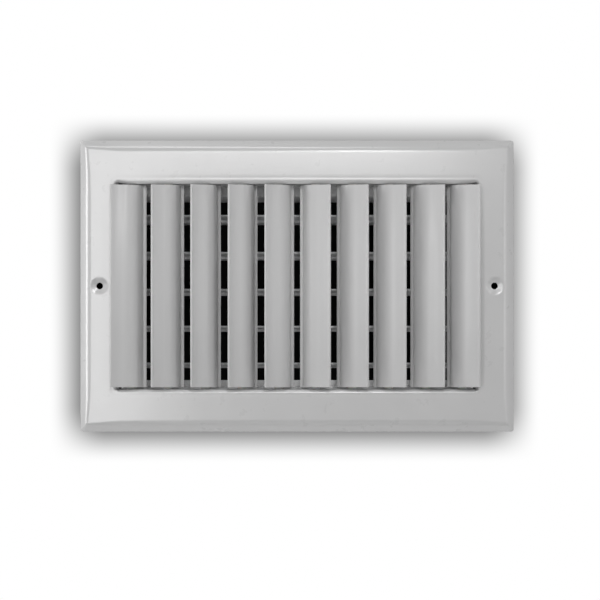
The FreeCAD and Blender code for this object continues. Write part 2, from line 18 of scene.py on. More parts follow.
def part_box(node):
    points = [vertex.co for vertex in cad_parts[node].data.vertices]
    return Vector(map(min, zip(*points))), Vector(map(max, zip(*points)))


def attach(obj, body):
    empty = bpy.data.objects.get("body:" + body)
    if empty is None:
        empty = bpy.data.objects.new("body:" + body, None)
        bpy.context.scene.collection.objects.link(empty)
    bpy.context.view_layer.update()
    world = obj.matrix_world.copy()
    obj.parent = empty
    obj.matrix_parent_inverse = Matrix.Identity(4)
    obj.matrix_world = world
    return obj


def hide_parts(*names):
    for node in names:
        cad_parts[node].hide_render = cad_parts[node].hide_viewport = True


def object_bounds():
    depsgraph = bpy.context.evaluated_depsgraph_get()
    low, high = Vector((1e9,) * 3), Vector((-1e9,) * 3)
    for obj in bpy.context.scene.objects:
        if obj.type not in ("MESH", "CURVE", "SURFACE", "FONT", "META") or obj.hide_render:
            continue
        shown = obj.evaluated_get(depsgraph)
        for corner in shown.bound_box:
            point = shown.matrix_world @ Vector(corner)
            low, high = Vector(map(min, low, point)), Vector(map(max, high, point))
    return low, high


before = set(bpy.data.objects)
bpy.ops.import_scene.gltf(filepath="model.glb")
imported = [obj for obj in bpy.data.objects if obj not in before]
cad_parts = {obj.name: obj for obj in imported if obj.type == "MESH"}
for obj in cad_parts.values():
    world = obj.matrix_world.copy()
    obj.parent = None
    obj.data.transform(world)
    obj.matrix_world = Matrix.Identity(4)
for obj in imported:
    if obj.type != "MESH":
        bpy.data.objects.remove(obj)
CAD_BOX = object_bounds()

MM = 0.001
WHITE = (1.0, 1.0, 1.0, 1.0)
Flat = Tuple[float, float]
Point = Tuple[float, float, float]
Ring = Tuple[float, float, float, float]
Socket = bpy.types.NodeSocket
Thing = bpy.types.Object
log = logging.getLogger("register")


# ---------------------------------------------------------------- finishes

class NodeSheet:
    """A node tree under construction, and short ways to add to it."""

    def __init__(self, tree: bpy.types.NodeTree) -> None:
        """Keeps the tree."""
        self.tree, self.nodes, self.links = tree, tree.nodes, tree.links

    def feed(self, socket: Socket, value: object) -> None:
        """Links another socket to a socket, or sets a constant on it.

        Args:
            socket: The socket to fill.
            value: Another socket or a constant.
        """
        if isinstance(value, Socket):
            self.links.new(value, socket)
        else:
            socket.default_value = value

    def add(self, kind: str, inputs: Optional[Dict] = None, **settings: object
            ) -> bpy.types.Node:
        """Adds a node.

        Args:
            kind: Its type.
            inputs: By name or number, a socket to link or a constant.
            settings: Its other properties.

        Returns:
            The node.
        """
        node = self.nodes.new(kind)
        for key, value in settings.items():
            setattr(node, key, value)
        for key, value in (inputs or {}).items():
            self.feed(node.inputs[key], value)
        return node

    def maths(self, way: str, first: object, second: object) -> Socket:
        """One operation on two numbers."""
        return self.add("ShaderNodeMath", {0: first, 1: second}, operation=way).outputs[0]

    def mixed(self, share: object, first: Socket, second: Socket) -> Socket:
        """Mix of two shaders."""
        return self.add("ShaderNodeMixShader", {0: share, 1: first, 2: second}).outputs[0]

    def seen(self) -> Socket:
        """One where the camera sees the backdrop, also in metal or through glass.

        Returns:
            The value output.
        """
        path = self.add("ShaderNodeLightPath").outputs
        whole = self.maths("MAXIMUM", path["Is Camera Ray"], path["Is Glossy Ray"])
        return self.maths("MAXIMUM", whole, path["Is Transmission Ray"])


class ShaderSheet(NodeSheet):
    """One material under construction, with a Principled shader."""

    def __init__(self, name: str) -> None:
        """Starts the material.

        Args:
            name: The material's name.
        """
        self.material = bpy.data.materials.new(name)
        self.material.use_nodes = True
        super().__init__(self.material.node_tree)
        self.shader = self.nodes["Principled BSDF"]
        self.place = self.add("ShaderNodeTexCoord").outputs["Object"]

    def set(self, **values: object) -> None:
        """Fills the shader's own sockets; underscores stand for spaces."""
        for key, value in values.items():
            self.feed(self.shader.inputs[key.replace("_", " ")], value)

    def noise(self, size: float, detail: float = 2.0, rough: float = 0.5,
              scale: Optional[Point] = None) -> Socket:
        """Cloudy pattern.

        Args:
            size: Size of its blotches, in millimetres.
            detail: Number of finer layers.
            rough: Strength of the finer layers.
            scale: Factor along each axis, for a grain with a direction.

        Returns:
            The value output.
        """
        place = self.place
        if scale:
            place = self.add("ShaderNodeMapping", {"Scale": scale, "Vector": place}).outputs[0]
        return self.add("ShaderNodeTexNoise", {
            "Scale": 1.0 / (size * MM), "Detail": detail, "Roughness": rough,
            "Vector": place}).outputs["Fac"]

    def cells(self, size: float) -> Socket:
        """Crystal pattern: a random level for each cell.

        Args:
            size: Size of a cell, in millimetres.

        Returns:
            The value output.
        """
        node = self.add("ShaderNodeTexVoronoi", {
            "Scale": 1.0 / (size * MM), "Randomness": 1.0, "Vector": self.place})
        return self.add("ShaderNodeSeparateColor", {"Color": node.outputs["Color"]}).outputs["Red"]

    def between(self, value: Socket, low: float, high: float, start: float = 0.3,
                end: float = 0.7) -> Socket:
        """Maps a pattern to a range of levels.

        Args:
            value: The pattern.
            low: Level at its start.
            high: Level at its end.
            start: Pattern value that gives low.
            end: Pattern value that gives high.

        Returns:
            The value output.
        """
        return self.add("ShaderNodeMapRange", {
            "Value": value, "From Min": start, "From Max": end, "To Min": low, "To Max": high},
            interpolation_type="SMOOTHSTEP").outputs["Result"]

    def blended(self, value: Socket, first: Point, second: Point) -> Socket:
        """Blend of two colours by a pattern of 0 to 1."""
        return self.add("ShaderNodeMix", {0: value, 6: (*first, 1.0), 7: (*second, 1.0)},
                        data_type="RGBA").outputs[2]

    def bump(self, *layers: Tuple[Socket, float]) -> None:
        """Adds layers of relief to the shader.

        Args:
            layers: Each a pattern and its height in millimetres.
        """
        last: Dict = {}
        for height, depth in layers:
            node = self.add("ShaderNodeBump", {"Strength": 1.0, "Distance": depth * MM,
                                               "Height": height, **last})
            last = {"Normal": node.outputs["Normal"]}
        self.set(**last)


@dataclass(frozen=True)
class Enamel:
    """Baked semi-gloss enamel: faint orange peel, slow ripples and slightly uneven colour."""

    name: str
    base: Point
    shade: Point
    gloss: Flat = (0.27, 0.33)
    peel: float = 0.0022
    ripple: float = 0.02
    ripple_size: float = 45.0
    coat: Point = (1.0, 0.25, 1.8)

    def material(self) -> bpy.types.Material:
        """Builds the material.

        Returns:
            The material.
        """
        sheet = ShaderSheet(self.name)
        weight, rough, index = self.coat
        tone = sheet.between(sheet.noise(38.0, 3.0, 0.55), 0.0, 1.0)
        sheet.set(Metallic=0.0, IOR=1.48, Coat_Weight=weight, Coat_Roughness=rough,
                  Coat_IOR=index, Base_Color=sheet.blended(tone, self.base, self.shade),
                  Roughness=sheet.between(sheet.noise(9.0, 4.0, 0.6), *self.gloss))
        sheet.bump((sheet.noise(self.ripple_size, 1.0, 0.4), self.ripple),
                   (sheet.noise(1.5, 2.0, 0.5), self.peel))
        return sheet.material


@dataclass(frozen=True)
class Galvanised:
    """Hot-dipped sheet: crystal spangle with a cloudy bloom and fine rolling lines."""

    name: str
    bright: Point
    dull: Point
    spangle: float
    metal: float
    gloss: Flat = (0.36, 0.5)

    def material(self) -> bpy.types.Material:
        """Builds the material.

        Returns:
            The material.
        """
        sheet = ShaderSheet(self.name)
        cells = sheet.cells(self.spangle)
        bloom = sheet.between(sheet.noise(26.0, 4.0, 0.6), 0.0, 0.45)
        both = sheet.add("ShaderNodeMath", {0: cells, 1: 0.55, 2: bloom},
                         operation="MULTIPLY_ADD").outputs[0]
        sheet.set(Metallic=self.metal, Base_Color=sheet.blended(both, self.dull, self.bright),
                  Roughness=sheet.between(cells, *self.gloss, 0.0, 1.0))
        grain = sheet.noise(0.9, 2.0, 0.5, (0.04, 1.0, 1.0))
        sheet.bump((cells, 0.004), (grain, 0.002), (sheet.noise(18.0, 1.0), 0.02))
        return sheet.material


@dataclass(frozen=True)
class DrawnMetal:
    """Plain metal with a drawn or rolled grain along one axis."""

    name: str
    bright: Point
    dull: Point
    grain: Point
    gloss: Flat = (0.25, 0.4)

    def material(self) -> bpy.types.Material:
        """Builds the material.

        Returns:
            The material.
        """
        sheet = ShaderSheet(self.name)
        lines = sheet.noise(0.7, 3.0, 0.6, self.grain)
        stain = sheet.between(sheet.noise(6.0, 3.0, 0.6), 0.0, 1.0, 0.35, 0.75)
        sheet.set(Metallic=1.0, Base_Color=sheet.blended(stain, self.bright, self.dull),
                  Roughness=sheet.between(lines, *self.gloss))
        sheet.bump((lines, 0.003))
        return sheet.material


@dataclass(frozen=True)
class Nylon:
    """Natural nylon: milky, slightly translucent, with a fine moulded grain."""

    name: str
    base: Point
    shade: Point

    def material(self) -> bpy.types.Material:
        """Builds the material.

        Returns:
            The material.
        """
        sheet = ShaderSheet(self.name)
        tone = sheet.between(sheet.noise(2.5, 2.0), 0.0, 1.0)
        sheet.set(Metallic=0.0, IOR=1.53, Subsurface_Weight=0.2, Subsurface_Scale=0.0015,
                  Base_Color=sheet.blended(tone, self.base, self.shade),
                  Roughness=sheet.between(sheet.noise(0.8, 2.0), 0.4, 0.52))
        sheet.bump((sheet.noise(0.35, 2.0), 0.003))
        return sheet.material


class Slot(Enum):
    """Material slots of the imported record."""

    FACE = "white_paint"
    LOUVRE = "louvre_paint"
    HOUSING = "galvanised"
    VANE = "blade_steel"
    LINKAGE = "plated_steel"
    WIRE = "steel"
    RIVET = "rivet_aluminium"
    BUSHING = "nylon"


class Finishes:
    """Every finish of the register, one material for each slot."""

    def __init__(self) -> None:
        """Builds the materials."""
        finishes = {
            Slot.FACE: Enamel("face_enamel", (0.655, 0.653, 0.653), (0.64, 0.639, 0.64)),
            Slot.LOUVRE: Enamel("louvre_enamel", (0.72, 0.718, 0.718), (0.71, 0.709, 0.71),
                                gloss=(0.42, 0.48), ripple=0.004, ripple_size=30.0,
                                coat=(0.35, 0.26, 1.5)),
            Slot.HOUSING: Galvanised("housing_zinc", (0.92, 0.92, 0.92), (0.84, 0.845, 0.85),
                                     7.0, 0.2),
            Slot.VANE: Galvanised("vane_zinc", (0.90, 0.905, 0.91), (0.80, 0.805, 0.81),
                                  5.0, 0.3),
            Slot.LINKAGE: DrawnMetal("bright_plate", (0.72, 0.72, 0.70), (0.55, 0.55, 0.53),
                                     (1.0, 1.0, 0.06)),
            Slot.WIRE: DrawnMetal("drawn_wire", (0.60, 0.60, 0.59), (0.42, 0.42, 0.41),
                                  (0.05, 1.0, 0.05)),
            Slot.RIVET: DrawnMetal("rivet_alloy", (0.78, 0.78, 0.79), (0.64, 0.64, 0.65),
                                   (1.0, 1.0, 1.0), gloss=(0.3, 0.42)),
            Slot.BUSHING: Nylon("natural_nylon", (0.80, 0.79, 0.74), (0.74, 0.73, 0.67)),
        }
        self.by_slot = {slot: finish.material() for slot, finish in finishes.items()}

    def dress(self, piece: Thing, slot: Slot) -> None:
        """Gives a piece the finish of its slot.

        Args:
            piece: The piece.
            slot: The slot that it takes its finish from.
        """
        piece.data.materials.clear()
        piece.data.materials.append(self.by_slot[slot])


# ---------------------------------------------------------------- mesh work

def direction(start: Flat, end: Flat) -> Vector:
    """Unit vector from one point to another."""
    return Vector((end[0] - start[0], end[1] - start[1])).normalized()


def spread(points: Sequence[Flat], radii: Sequence[float], steps: int) -> List[Flat]:
    """Line through corner points, each inner corner rounded by its radius.

    Args:
        points: Corners of the line.
        radii: Bend radius at each inner corner.
        steps: Pieces that an arc is divided into.

    Returns:
        Points along the rounded line.
    """
    line: List[Flat] = [points[0]]
    for before, here, after, radius in zip(points, points[1:], points[2:], radii):
        come, go = direction(before, here), direction(here, after)
        turn = math.atan2(come.x * go.y - come.y * go.x, come.dot(go))
        hand = math.copysign(1.0, turn)
        reach = radius * math.tan(abs(turn) / 2)
        centre = Vector(here) - come * reach + Vector((-come.y, come.x)) * hand * radius
        heading = math.atan2(come.y, come.x)
        for i in range(steps + 1):
            at = heading + turn * i / steps
            line.append((centre.x + math.sin(at) * hand * radius,
                         centre.y - math.cos(at) * hand * radius))
    line.append(points[-1])
    return line


def thickened(line: Sequence[Flat], sheet: float, rounded: float = 0.0) -> List[Flat]:
    """Outline of a sheet seen on edge.

    Args:
        line: Its centre line.
        sheet: Its thickness.
        rounded: How far each end bulges, 0 for a square cut.

    Returns:
        The closed outline, without its first point repeated.
    """
    left, right = [], []
    for i, here in enumerate(line):
        before, after = line[max(i - 1, 0)], line[min(i + 1, len(line) - 1)]
        along = direction(before, after)
        off = Vector((-along.y, along.x)) * sheet / 2
        left.append((here[0] + off.x, here[1] + off.y))
        right.append((here[0] - off.x, here[1] - off.y))

    def cap(end: Flat, inner: Flat, start: Flat) -> List[Flat]:
        if not rounded:
            return []
        out = direction(inner, end)
        first = Vector(start) - Vector(end)
        return [tuple(Vector(end) + first * math.cos(a) + out * rounded * math.sin(a))
                for a in (math.pi * i / 6 for i in range(1, 6))]

    return (left + cap(line[-1], line[-2], left[-1]) + right[::-1]
            + cap(line[0], line[1], right[0]))


def arc(centre: Flat, radius: float, start: float, end: float, steps: int) -> List[Flat]:
    """Points along an arc.

    Args:
        centre: Its centre.
        radius: Its radius.
        start: Angle of the first point, in radians.
        end: Angle of the last.
        steps: Pieces that it is divided into.

    Returns:
        The points.
    """
    turns = (start + (end - start) * i / steps for i in range(steps + 1))
    return [(centre[0] + radius * math.cos(a), centre[1] + radius * math.sin(a)) for a in turns]


def object_of(name: str, build: bmesh.types.BMesh) -> Thing:
    """Turns a mesh under construction into an object at the origin.

    Args:
        name: The object's name.
        build: The mesh, freed here.

    Returns:
        The object.
    """
    mesh = bpy.data.meshes.new(name)
    build.to_mesh(mesh)
    build.free()
    piece = bpy.data.objects.new(name, mesh)
    bpy.context.scene.collection.objects.link(piece)
    return piece


def flat_face(name: str, corners: Sequence[Point]) -> Thing:
    """One flat face, its corners in metres.

    Args:
        name: The object's name.
        corners: The face's corners, in order.

    Returns:
        The object.
    """
    build = bmesh.new()
    build.faces.new([build.verts.new(c) for c in corners])
    return object_of(name, build)


def ringed(name: str, loops: Sequence[Sequence[Point]]) -> Thing:
    """Closed skin over rings of points, the last ring joined to the first.

    Args:
        name: The object's name.
        loops: The rings, of equal count, in millimetres.

    Returns:
        The object.
    """
    build = bmesh.new()
    rings = [[build.verts.new([c * MM for c in p]) for p in loop] for loop in loops]
    for first, second in zip(rings, rings[1:] + rings[:1]):
        for i in range(len(first)):
            j = (i + 1) % len(first)
            build.faces.new((first[i], first[j], second[j], second[i]))
    bmesh.ops.recalc_face_normals(build, faces=build.faces)
    return object_of(name, build)


def lathe(name: str, profile: Sequence[Flat], sides: int) -> Thing:
    """Closed shape turned about Z.

    Args:
        name: The object's name.
        profile: Closed outline as (radius, height); a radius of 0 closes at a pole.
        sides: Number of sides.

    Returns:
        The object.
    """
    build = bmesh.new()
    rings = []
    for radius, height in profile:
        turns = [2 * math.pi * i / sides for i in range(sides if radius else 1)]
        rings.append([build.verts.new((radius * MM * math.cos(a), radius * MM * math.sin(a),
                                       height * MM)) for a in turns])
    pairs = list(zip(rings, rings[1:]))
    if len(rings[0]) > 1:
        pairs.append((rings[-1], rings[0]))
    for low, high in pairs:
        for i in range(sides):
            j = (i + 1) % sides
            if len(low) == 1:
                build.faces.new((low[0], high[j], high[i]))
            elif len(high) == 1:
                build.faces.new((low[i], low[j], high[0]))
            else:
                build.faces.new((low[i], low[j], high[j], high[i]))
    bmesh.ops.recalc_face_normals(build, faces=build.faces)
    return object_of(name, build)


def wire_pin(name: str, radius: float, length: float, chamfer: float = 0.3) -> Thing:
    """Round pin from height 0 upwards, chamfered at both ends."""
    return lathe(name, [(0, 0), (radius - chamfer, 0), (radius, chamfer),
                        (radius, length - chamfer), (radius - chamfer, length), (0, length)], 24)


def settle(piece: Thing, smooth: float = 35.0) -> Thing:
    """Makes a piece's modifiers part of its mesh, and shades it smooth between crisp edges.

    Args:
        piece: The piece.
        smooth: Angle in degrees below which two faces shade as one.

    Returns:
        The same piece, without modifiers.
    """
    if piece.modifiers:
        graph = bpy.context.evaluated_depsgraph_get()
        graph.update()
        mesh = bpy.data.meshes.new_from_object(piece.evaluated_get(graph))
        piece.modifiers.clear()
        old, piece.data = piece.data, mesh
        mesh.name = piece.name
        bpy.data.meshes.remove(old)
    piece.data.shade_smooth()
    piece.data.set_sharp_from_angle(angle=math.radians(smooth))
    return piece


def softened(piece: Thing, width: float, steps: int = 2, above: float = 55.0) -> None:
    """Adds a small round to every edge sharper than an angle.

    Args:
        piece: The piece.
        width: Width of the round in millimetres.
        steps: Faces across the round.
        above: Angle in degrees from which an edge is rounded.
    """
    bevel = piece.modifiers.new("soft_edges", "BEVEL")
    bevel.width = width * MM
    bevel.segments = steps
    bevel.limit_method = "ANGLE"
    bevel.angle_limit = math.radians(above)
    bevel.harden_normals = False


def drop(part: Thing) -> None:
    """Removes a helper object and its mesh."""
    mesh = part.data
    bpy.data.objects.remove(part)
    bpy.data.meshes.remove(mesh)


def joined(name: str, parts: Sequence[Thing]) -> Thing:
    """Puts the meshes of several settled objects into one object and drops them.

    Args:
        name: The new object's name.
        parts: The objects.

    Returns:
        The object that holds them all.
    """
    build = bmesh.new()
    for part in parts:
        build.from_mesh(part.data)
    whole = object_of(name, build)
    for part in parts:
        drop(part)
    return whole


def carved(piece: Thing, tool: Thing, way: str = "DIFFERENCE") -> Thing:
    """Cuts one closed shape with another, or joins them into one skin.

    Args:
        piece: The shape that stays.
        tool: The other shape, dropped afterwards.
        way: DIFFERENCE or UNION.

    Returns:
        The same piece, settled.
    """
    cut = piece.modifiers.new("carve", "BOOLEAN")
    cut.operation = way
    cut.solver = "EXACT"
    cut.object = tool
    settle(piece)
    drop(tool)
    return piece


def block(name: str, first: Point, second: Point) -> Thing:
    """Closed box between two opposite corners, in millimetres, as a cutting tool.

    Args:
        name: The object's name.
        first: One corner.
        second: The opposite one.

    Returns:
        The box.
    """
    build = bmesh.new()
    bmesh.ops.create_cube(build, size=1.0)
    for vert in build.verts:
        vert.co = Vector([(a + b) / 2 * MM + c * abs(b - a) * MM
                          for a, b, c in zip(first, second, vert.co)])
    return object_of(name, build)


def turned(part: Thing, degrees: float, axis: str, shift: Point = (0.0, 0.0, 0.0)) -> Thing:
    """Turns and moves a part's mesh, the object staying at the origin.

    Args:
        part: The part.
        degrees: The turn.
        axis: X, Y or Z.
        shift: The move, in millimetres.

    Returns:
        The same part.
    """
    turn = Matrix.Rotation(math.radians(degrees), 4, axis)
    part.data.transform(Matrix.Translation([s * MM for s in shift]) @ turn)
    return part


class NodePress(NodeSheet):
    """A Geometry Nodes tree with named inputs, and the way to run it on a mesh."""

    def __init__(self, name: str, inputs: Dict[str, Tuple[str, object]]) -> None:
        """Starts a tree.

        Args:
            name: The tree's name.
            inputs: Socket type and default value of each named input.
        """
        super().__init__(bpy.data.node_groups.new(name, "GeometryNodeTree"))
        face = self.tree.interface
        face.new_socket("Geometry", in_out="INPUT", socket_type="NodeSocketGeometry")
        self.keys: Dict[str, str] = {}
        for key, (kind, value) in {**inputs, "Material": ("Material", None)}.items():
            socket = face.new_socket(key, in_out="INPUT", socket_type="NodeSocket" + kind)
            if value is not None:
                socket.default_value = value
            self.keys[key] = socket.identifier
        face.new_socket("Geometry", in_out="OUTPUT", socket_type="NodeSocketGeometry")
        self.given = self.add("NodeGroupInput").outputs
        self.result = self.add("NodeGroupOutput").inputs[0]

    def finish(self, shape: Socket) -> None:
        """Ends the tree: instances made real, then the material set.

        Args:
            shape: The geometry to end with.
        """
        real = self.add("GeometryNodeRealizeInstances", {"Geometry": shape})
        dressed = self.add("GeometryNodeSetMaterial", {"Geometry": real.outputs[0],
                                                       "Material": self.given["Material"]})
        self.links.new(dressed.outputs[0], self.result)

    def press(self, piece: Thing, **values: object) -> None:
        """Puts the tree on a piece as a live modifier and sets its inputs by identifier.

        Args:
            piece: The piece whose mesh the tree starts from.
            values: Value of each input.
        """
        made = piece.modifiers.new(self.tree.name, "NODES")
        made.node_group = self.tree
        for key, value in values.items():
            made[self.keys[key]] = value


class SectionPress(NodePress):
    """Runs a flat section out to its length, turns it about its pivot and puts it in place."""

    def __init__(self) -> None:
        """Builds the tree."""
        nil = (0.0, 0.0, 0.0)
        super().__init__("section_to_length", {
            "Run": ("Vector", (0.0, 0.0, 0.1)), "Turn": ("Vector", nil),
            "Pivot": ("Vector", nil)})
        section = self.given["Geometry"]
        run = self.add("GeometryNodeExtrudeMesh", {
            "Mesh": section, "Offset": self.given["Run"], "Individual": False,
            "Offset Scale": 1.0})
        foot = self.add("GeometryNodeFlipFaces", {"Mesh": section})
        both = self.add("GeometryNodeJoinGeometry", {0: foot.outputs[0]})
        self.links.new(run.outputs["Mesh"], both.inputs[0])
        whole = self.add("GeometryNodeMergeByDistance", {"Geometry": both.outputs[0],
                                                         "Distance": 1e-6})
        placed = self.add("GeometryNodeTransform", {
            "Geometry": whole.outputs[0], "Translation": self.given["Pivot"],
            "Rotation": self.given["Turn"]})
        self.finish(placed.outputs[0])


class RowPress(NodePress):
    """Sets out copies of one part in a row at an even pitch."""

    def __init__(self) -> None:
        """Builds the tree."""
        super().__init__("parts_in_a_row", {
            "Count": ("Int", 2), "Start": ("Vector", (0.0, 0.0, 0.0)),
            "Pitch": ("Vector", (0.01, 0.0, 0.0)), "Spin": ("Float", 0.0),
            "Seed": ("Int", 7)})
        line = self.add("GeometryNodeMeshLine", {
            "Count": self.given["Count"], "Start Location": self.given["Start"],
            "Offset": self.given["Pitch"]})
        chance = self.add("FunctionNodeRandomValue", data_type="FLOAT")
        seed = next(s for s in chance.inputs if s.identifier == "Seed")
        self.links.new(self.given["Seed"], seed)
        value = next(s for s in chance.outputs if s.identifier == "Value_001")
        turn = self.add("ShaderNodeCombineXYZ", {
            "Z": self.maths("MULTIPLY", value, self.given["Spin"])})
        copies = self.add("GeometryNodeInstanceOnPoints", {
            "Points": line.outputs[0], "Instance": self.given["Geometry"],
            "Rotation": turn.outputs[0]})
        self.finish(copies.outputs[0])


# ---------------------------------------------------------------- sub-assemblies

def corners_of(node: str) -> Tuple[Vector, Vector]:
    """Lowest and highest corner of a CAD node, in millimetres."""
    low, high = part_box(node)
    return Vector(low) / MM, Vector(high) / MM


def centre_of(node: str) -> Vector:
    """Middle of a CAD node's box, in millimetres."""
    low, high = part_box(node)
    return (Vector(low) + Vector(high)) / 2 / MM


@dataclass
class Workshop:
    """What every sub-assembly works with: the finishes and the two node trees."""

    finishes: Finishes = field(default_factory=Finishes)
    sections: SectionPress = field(default_factory=SectionPress)
    rows: RowPress = field(default_factory=RowPress)
    spin: float = 0.0
    seed: int = 7

    def fit(self, piece: Thing, slot: Slot, body: str, *nodes: str) -> None:
        """Dresses a finished piece, puts it on its body and lets it stand for CAD nodes.

        Args:
            piece: The piece.
            slot: Its material slot.
            body: The body that it rides on.
            nodes: The CAD nodes that it replaces.
        """
        self.finishes.dress(piece, slot)
        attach(piece, body)
        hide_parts(*nodes)
        log.info("%s: %d faces on %s", piece.name, len(piece.data.polygons), body)

    def drawn_out(self, name: str, corners: Sequence[Point], run: Point, pivot: Point,
                  turn: Point = (0.0, 0.0, 0.0), edge: float = 0.2,
                  smooth: float = 35.0) -> Thing:
        """Makes a solid of one section by running it out along a line.

        Args:
            name: The piece's name.
            corners: The section's corners about its pivot, in millimetres.
            run: Length and direction of the run, in millimetres.
            pivot: Place of the pivot at the start of the run, in millimetres.
            turn: Turn about the pivot, in radians about each axis.
            edge: Round on the sharp edges, in millimetres.
            smooth: Angle in degrees below which two faces shade as one.

        Returns:
            The settled piece.
        """
        points = [Vector(c) * MM for c in corners]
        area = sum((a.cross(b) for a, b in zip(points, points[1:] + points[:1])), Vector())
        if area.dot(Vector(run)) < 0:
            points.reverse()
        piece = flat_face(name, points)
        self.sections.press(piece, Run=tuple(r * MM for r in run), Turn=tuple(turn),
                            Pivot=tuple(p * MM for p in pivot))
        if edge:
            softened(piece, edge)
        return settle(piece, smooth)

    def side_on(self, name: str, outline: Sequence[Flat], x: float, length: float,
                at: Flat = (0.0, 0.0), tilt: float = 0.0, edge: float = 0.12) -> Thing:
        """Draws a section out across the register.

        Args:
            name: The piece's name.
            outline: The section's corners in depth and height.
            x: Where it starts.
            length: Its length, below 0 towards the left.
            at: Depth and height of its pivot.
            tilt: Turn about the pivot, in degrees.
            edge: Round on the sharp edges.

        Returns:
            The settled piece.
        """
        return self.drawn_out(name, [(0.0, y, z) for y, z in outline], (length, 0, 0),
                              (x, *at), (math.radians(tilt), 0.0, 0.0), edge)

    def row(self, part: Thing, count: int, start: Point, pitch: Point) -> Thing:
        """Repeats a part in a row.

        Args:
            part: The part, about the origin.
            count: Number of copies.
            start: Place of the first, in millimetres.
            pitch: Step to the next, in millimetres.

        Returns:
            The settled row.
        """
        self.rows.press(part, Count=count, Start=tuple(s * MM for s in start),
                        Pitch=tuple(p * MM for p in pitch), Spin=self.spin, Seed=self.seed)
        return settle(part)


